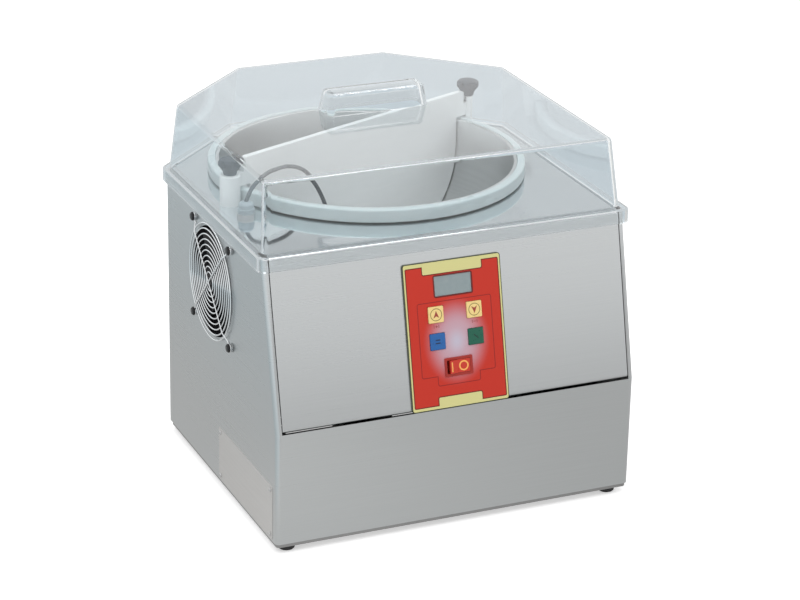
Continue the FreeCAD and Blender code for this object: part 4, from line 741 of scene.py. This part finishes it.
tree.links.new(spread(tree, gloss, 0.30, 0.42), shader.inputs["Roughness"])
relief(tree, shader, gloss, 0.00001)
smooth_copy("control_fascia", "housing", printed)

pane_tint, tree, shader = new_material("display_pane", (0.34, 0.42, 0.44), 0.12)
shader.inputs["Transmission Weight"].default_value = 0.35
dust = pattern(tree, "TexNoise", (1, 1, 1), Scale=150, Detail=4.0)
tint(tree, shader, dust, (0.30, 0.38, 0.40), (0.40, 0.47, 0.48))
dress(pane_tint, "display_window")

module, tree, shader = new_material("dark_module", (0.03, 0.032, 0.035), 0.5)
mould = pattern(tree, "TexNoise", (1, 1, 1), Scale=300, Detail=3.0)
tint(tree, shader, mould, (0.02, 0.022, 0.025), (0.05, 0.052, 0.055))
dress(module, "display_module", "key_switches")


def key_material(name, light, dark):
    """Glossy moulded key with a slight mottle; returns it with its printed face open."""
    made, tree, shader = new_material(name, light, 0.3)
    mottle = pattern(tree, "TexNoise", (1, 1, 1), Scale=250, Detail=3.0)
    face = tint(tree, shader, mottle, dark, light)
    tree.links.new(spread(tree, mottle, 0.22, 0.36), shader.inputs["Roughness"])
    return made, tree, shader, face


def key_arrow(tree, shader, face, x, t, up):
    """Prints a ring and a notched arrow on a key."""
    spot = add(tree, "VectorMath", operation="SUBTRACT")
    spot.inputs[1].default_value = (x / 1000, t / 1000, 0)
    tree.links.new(panel_point(tree), spot.inputs[0])
    flat = add(tree, "VectorMath", operation="MULTIPLY")
    flat.inputs[1].default_value = (1000, 1000 * up, 0)
    tree.links.new(spot.outputs[0], flat.inputs[0])
    away = add(tree, "VectorMath", operation="LENGTH")
    tree.links.new(flat.outputs[0], away.inputs[0])
    ring = math_node(tree, "ABSOLUTE", math_node(tree, "SUBTRACT", away.outputs["Value"], 6.0))
    parts = add(tree, "SeparateXYZ")
    tree.links.new(flat.outputs[0], parts.inputs[0])
    side = math_node(tree, "ABSOLUTE", parts.outputs[0])
    slant = math_node(tree, "SUBTRACT", side,
                      math_node(tree, "MULTIPLY", math_node(tree, "SUBTRACT", 4.0,
                                                            parts.outputs[1]), 0.42))
    notch = math_node(tree, "SUBTRACT", math_node(tree, "MULTIPLY_ADD", side, -0.6, -1.6),
                      parts.outputs[1])
    arrow = math_node(tree, "MAXIMUM", slant, notch)
    face = ink(tree, face, within(tree, ring, 0.35), (0.16, 0.13, 0.03))
    face = ink(tree, face, within(tree, arrow), (0.30, 0.05, 0.03))
    tree.links.new(face, shader.inputs["Base Color"])


for name, x, up in (("button_up", -key_column, 1), ("button_down", key_column, -1)):
    yellow, tree, shader, face = key_material("yellow_" + name, (0.80, 0.61, 0.25),
                                              (0.74, 0.55, 0.21))
    key_arrow(tree, shader, face, x, arrow_height, up)
    dress(yellow, name)
blue, tree, shader, face = key_material("blue_key", (0.012, 0.115, 0.36), (0.009, 0.09, 0.30))
point = panel_point(tree)
bars = math_node(tree, "MINIMUM",
                 edge_distance(tree, point, -23.4, -18.2, 70.2, 71.5, 0.3),
                 edge_distance(tree, point, -23.4, -18.2, 67.0, 68.3, 0.3))
face = ink(tree, face, within(tree, bars), (0.006, 0.02, 0.07))
tree.links.new(face, shader.inputs["Base Color"])
dress(blue, "button_set")
green, tree, shader, face = key_material("green_key", (0.004, 0.105, 0.062),
                                         (0.003, 0.085, 0.05))
lean = add(tree, "Mapping", vector_type="TEXTURE")
lean.inputs["Location"].default_value = (0.0208, 0.0692, 0)
lean.inputs["Rotation"].default_value = (0, 0, radians(-42))
tree.links.new(panel_point(tree), lean.inputs["Vector"])
stroke = edge_distance(tree, lean.outputs[0], -3.2, 3.2, -0.5, 0.5, 0.3)
face = ink(tree, face, within(tree, stroke), (0.002, 0.02, 0.015))
tree.links.new(face, shader.inputs["Base Color"])
dress(green, "button_start")

rocker_red, tree, shader, face = key_material("rocker_red", (0.55, 0.035, 0.016),
                                              (0.49, 0.028, 0.012))
point = panel_point(tree)
stroke = edge_distance(tree, point, -8.7, -7.3, 36.8, 46.8, 0.5)
spot = add(tree, "VectorMath", operation="SUBTRACT")
spot.inputs[1].default_value = (0.0052, 0.0418, 0)
tree.links.new(point, spot.inputs[0])
flat = add(tree, "VectorMath", operation="MULTIPLY")
flat.inputs[1].default_value = (1000, 1000, 0)
tree.links.new(spot.outputs[0], flat.inputs[0])
away = add(tree, "VectorMath", operation="LENGTH")
tree.links.new(flat.outputs[0], away.inputs[0])
circle = math_node(tree, "ABSOLUTE", math_node(tree, "SUBTRACT", away.outputs["Value"], 4.4))
face = ink(tree, face, within(tree, math_node(tree, "MINIMUM", stroke, math_node(
    tree, "SUBTRACT", circle, 0.75))), (0.85, 0.40, 0.10))
tree.links.new(face, shader.inputs["Base Color"])
dress(rocker_red, "rocker")
switch, tree, shader = new_material("switch_moulding", (0.34, 0.02, 0.012), 0.4)
mould = pattern(tree, "TexNoise", (1, 1, 1), Scale=300, Detail=3.0)
tint(tree, shader, mould, (0.28, 0.016, 0.010), (0.38, 0.024, 0.014))
dress(switch, "rocker_frame")
inlet_black, tree, shader = new_material("inlet_moulding", (0.015, 0.015, 0.016), 0.45)
mould = pattern(tree, "TexNoise", (1, 1, 1), Scale=300, Detail=3.0)
tint(tree, shader, mould, (0.01, 0.01, 0.011), (0.03, 0.03, 0.032))
dress(inlet_black, "mains_inlet")


# ------------------------------------------------------------------ rating plate
# A thin bare aluminium plate is riveted low on the fan side. Its face is left blank.
label, tree, shader = new_material("plate_aluminium", (0.62, 0.61, 0.59), 0.4, 0.6)
rolled = pattern(tree, "TexNoise", (10, 10, 400), Scale=1.0, Detail=4.0)
tint(tree, shader, rolled, (0.56, 0.555, 0.54), (0.66, 0.65, 0.64))
tree.links.new(spread(tree, rolled, 0.34, 0.5), shader.inputs["Roughness"])
dress(label, "rating_plate")


# ------------------------------------------------------------------ drive and heating
# Inside the housing: a folded bridge carries the gearmotor, the cast bearing housing and
# shaft, and the tubular heating element in its clips under the bowl.
cast, tree, shader = new_material("cast_aluminium", (0.5, 0.51, 0.51), 0.45, 1.0)
sand = pattern(tree, "TexNoise", (1, 1, 1), Scale=450, Detail=6.0)
tint(tree, shader, sand, (0.42, 0.43, 0.43), (0.58, 0.58, 0.58))
tree.links.new(spread(tree, sand, 0.35, 0.6), shader.inputs["Roughness"])
relief(tree, shader, sand, 0.00008)
dress(cast, "turntable", "bearing_housing", "heater_clips")
dress(pan_steel, "motor_bridge")
heated, tree, shader = new_material("heated_sheath", (0.2, 0.17, 0.15), 0.4, 1.0)
scale = pattern(tree, "TexNoise", (1, 1, 1), Scale=60, Detail=6.0)
tint(tree, shader, scale, (0.10, 0.085, 0.08), (0.30, 0.25, 0.20))
dress(heated, "heater_element")
painted, tree, shader = new_material("motor_paint", (0.035, 0.045, 0.06), 0.45)
spray = pattern(tree, "TexNoise", (1, 1, 1), Scale=600, Detail=4.0)
tint(tree, shader, spray, (0.03, 0.038, 0.05), (0.055, 0.065, 0.08))
relief(tree, shader, spray, 0.00005)
dress(painted, "gearmotor")


# ------------------------------------------------------------------ electronics
# The control board stands behind the slope and the power supply on the tray. Both
# are green laminate, slightly clouded.
laminate, tree, shader = new_material("green_laminate", (0.01, 0.09, 0.035), 0.4)
tint(tree, shader, pattern(tree, "TexNoise", (1, 1, 1), Scale=90, Detail=5.0),
     (0.008, 0.07, 0.028), (0.015, 0.11, 0.045))
dress(laminate, "control_board", "power_supply")
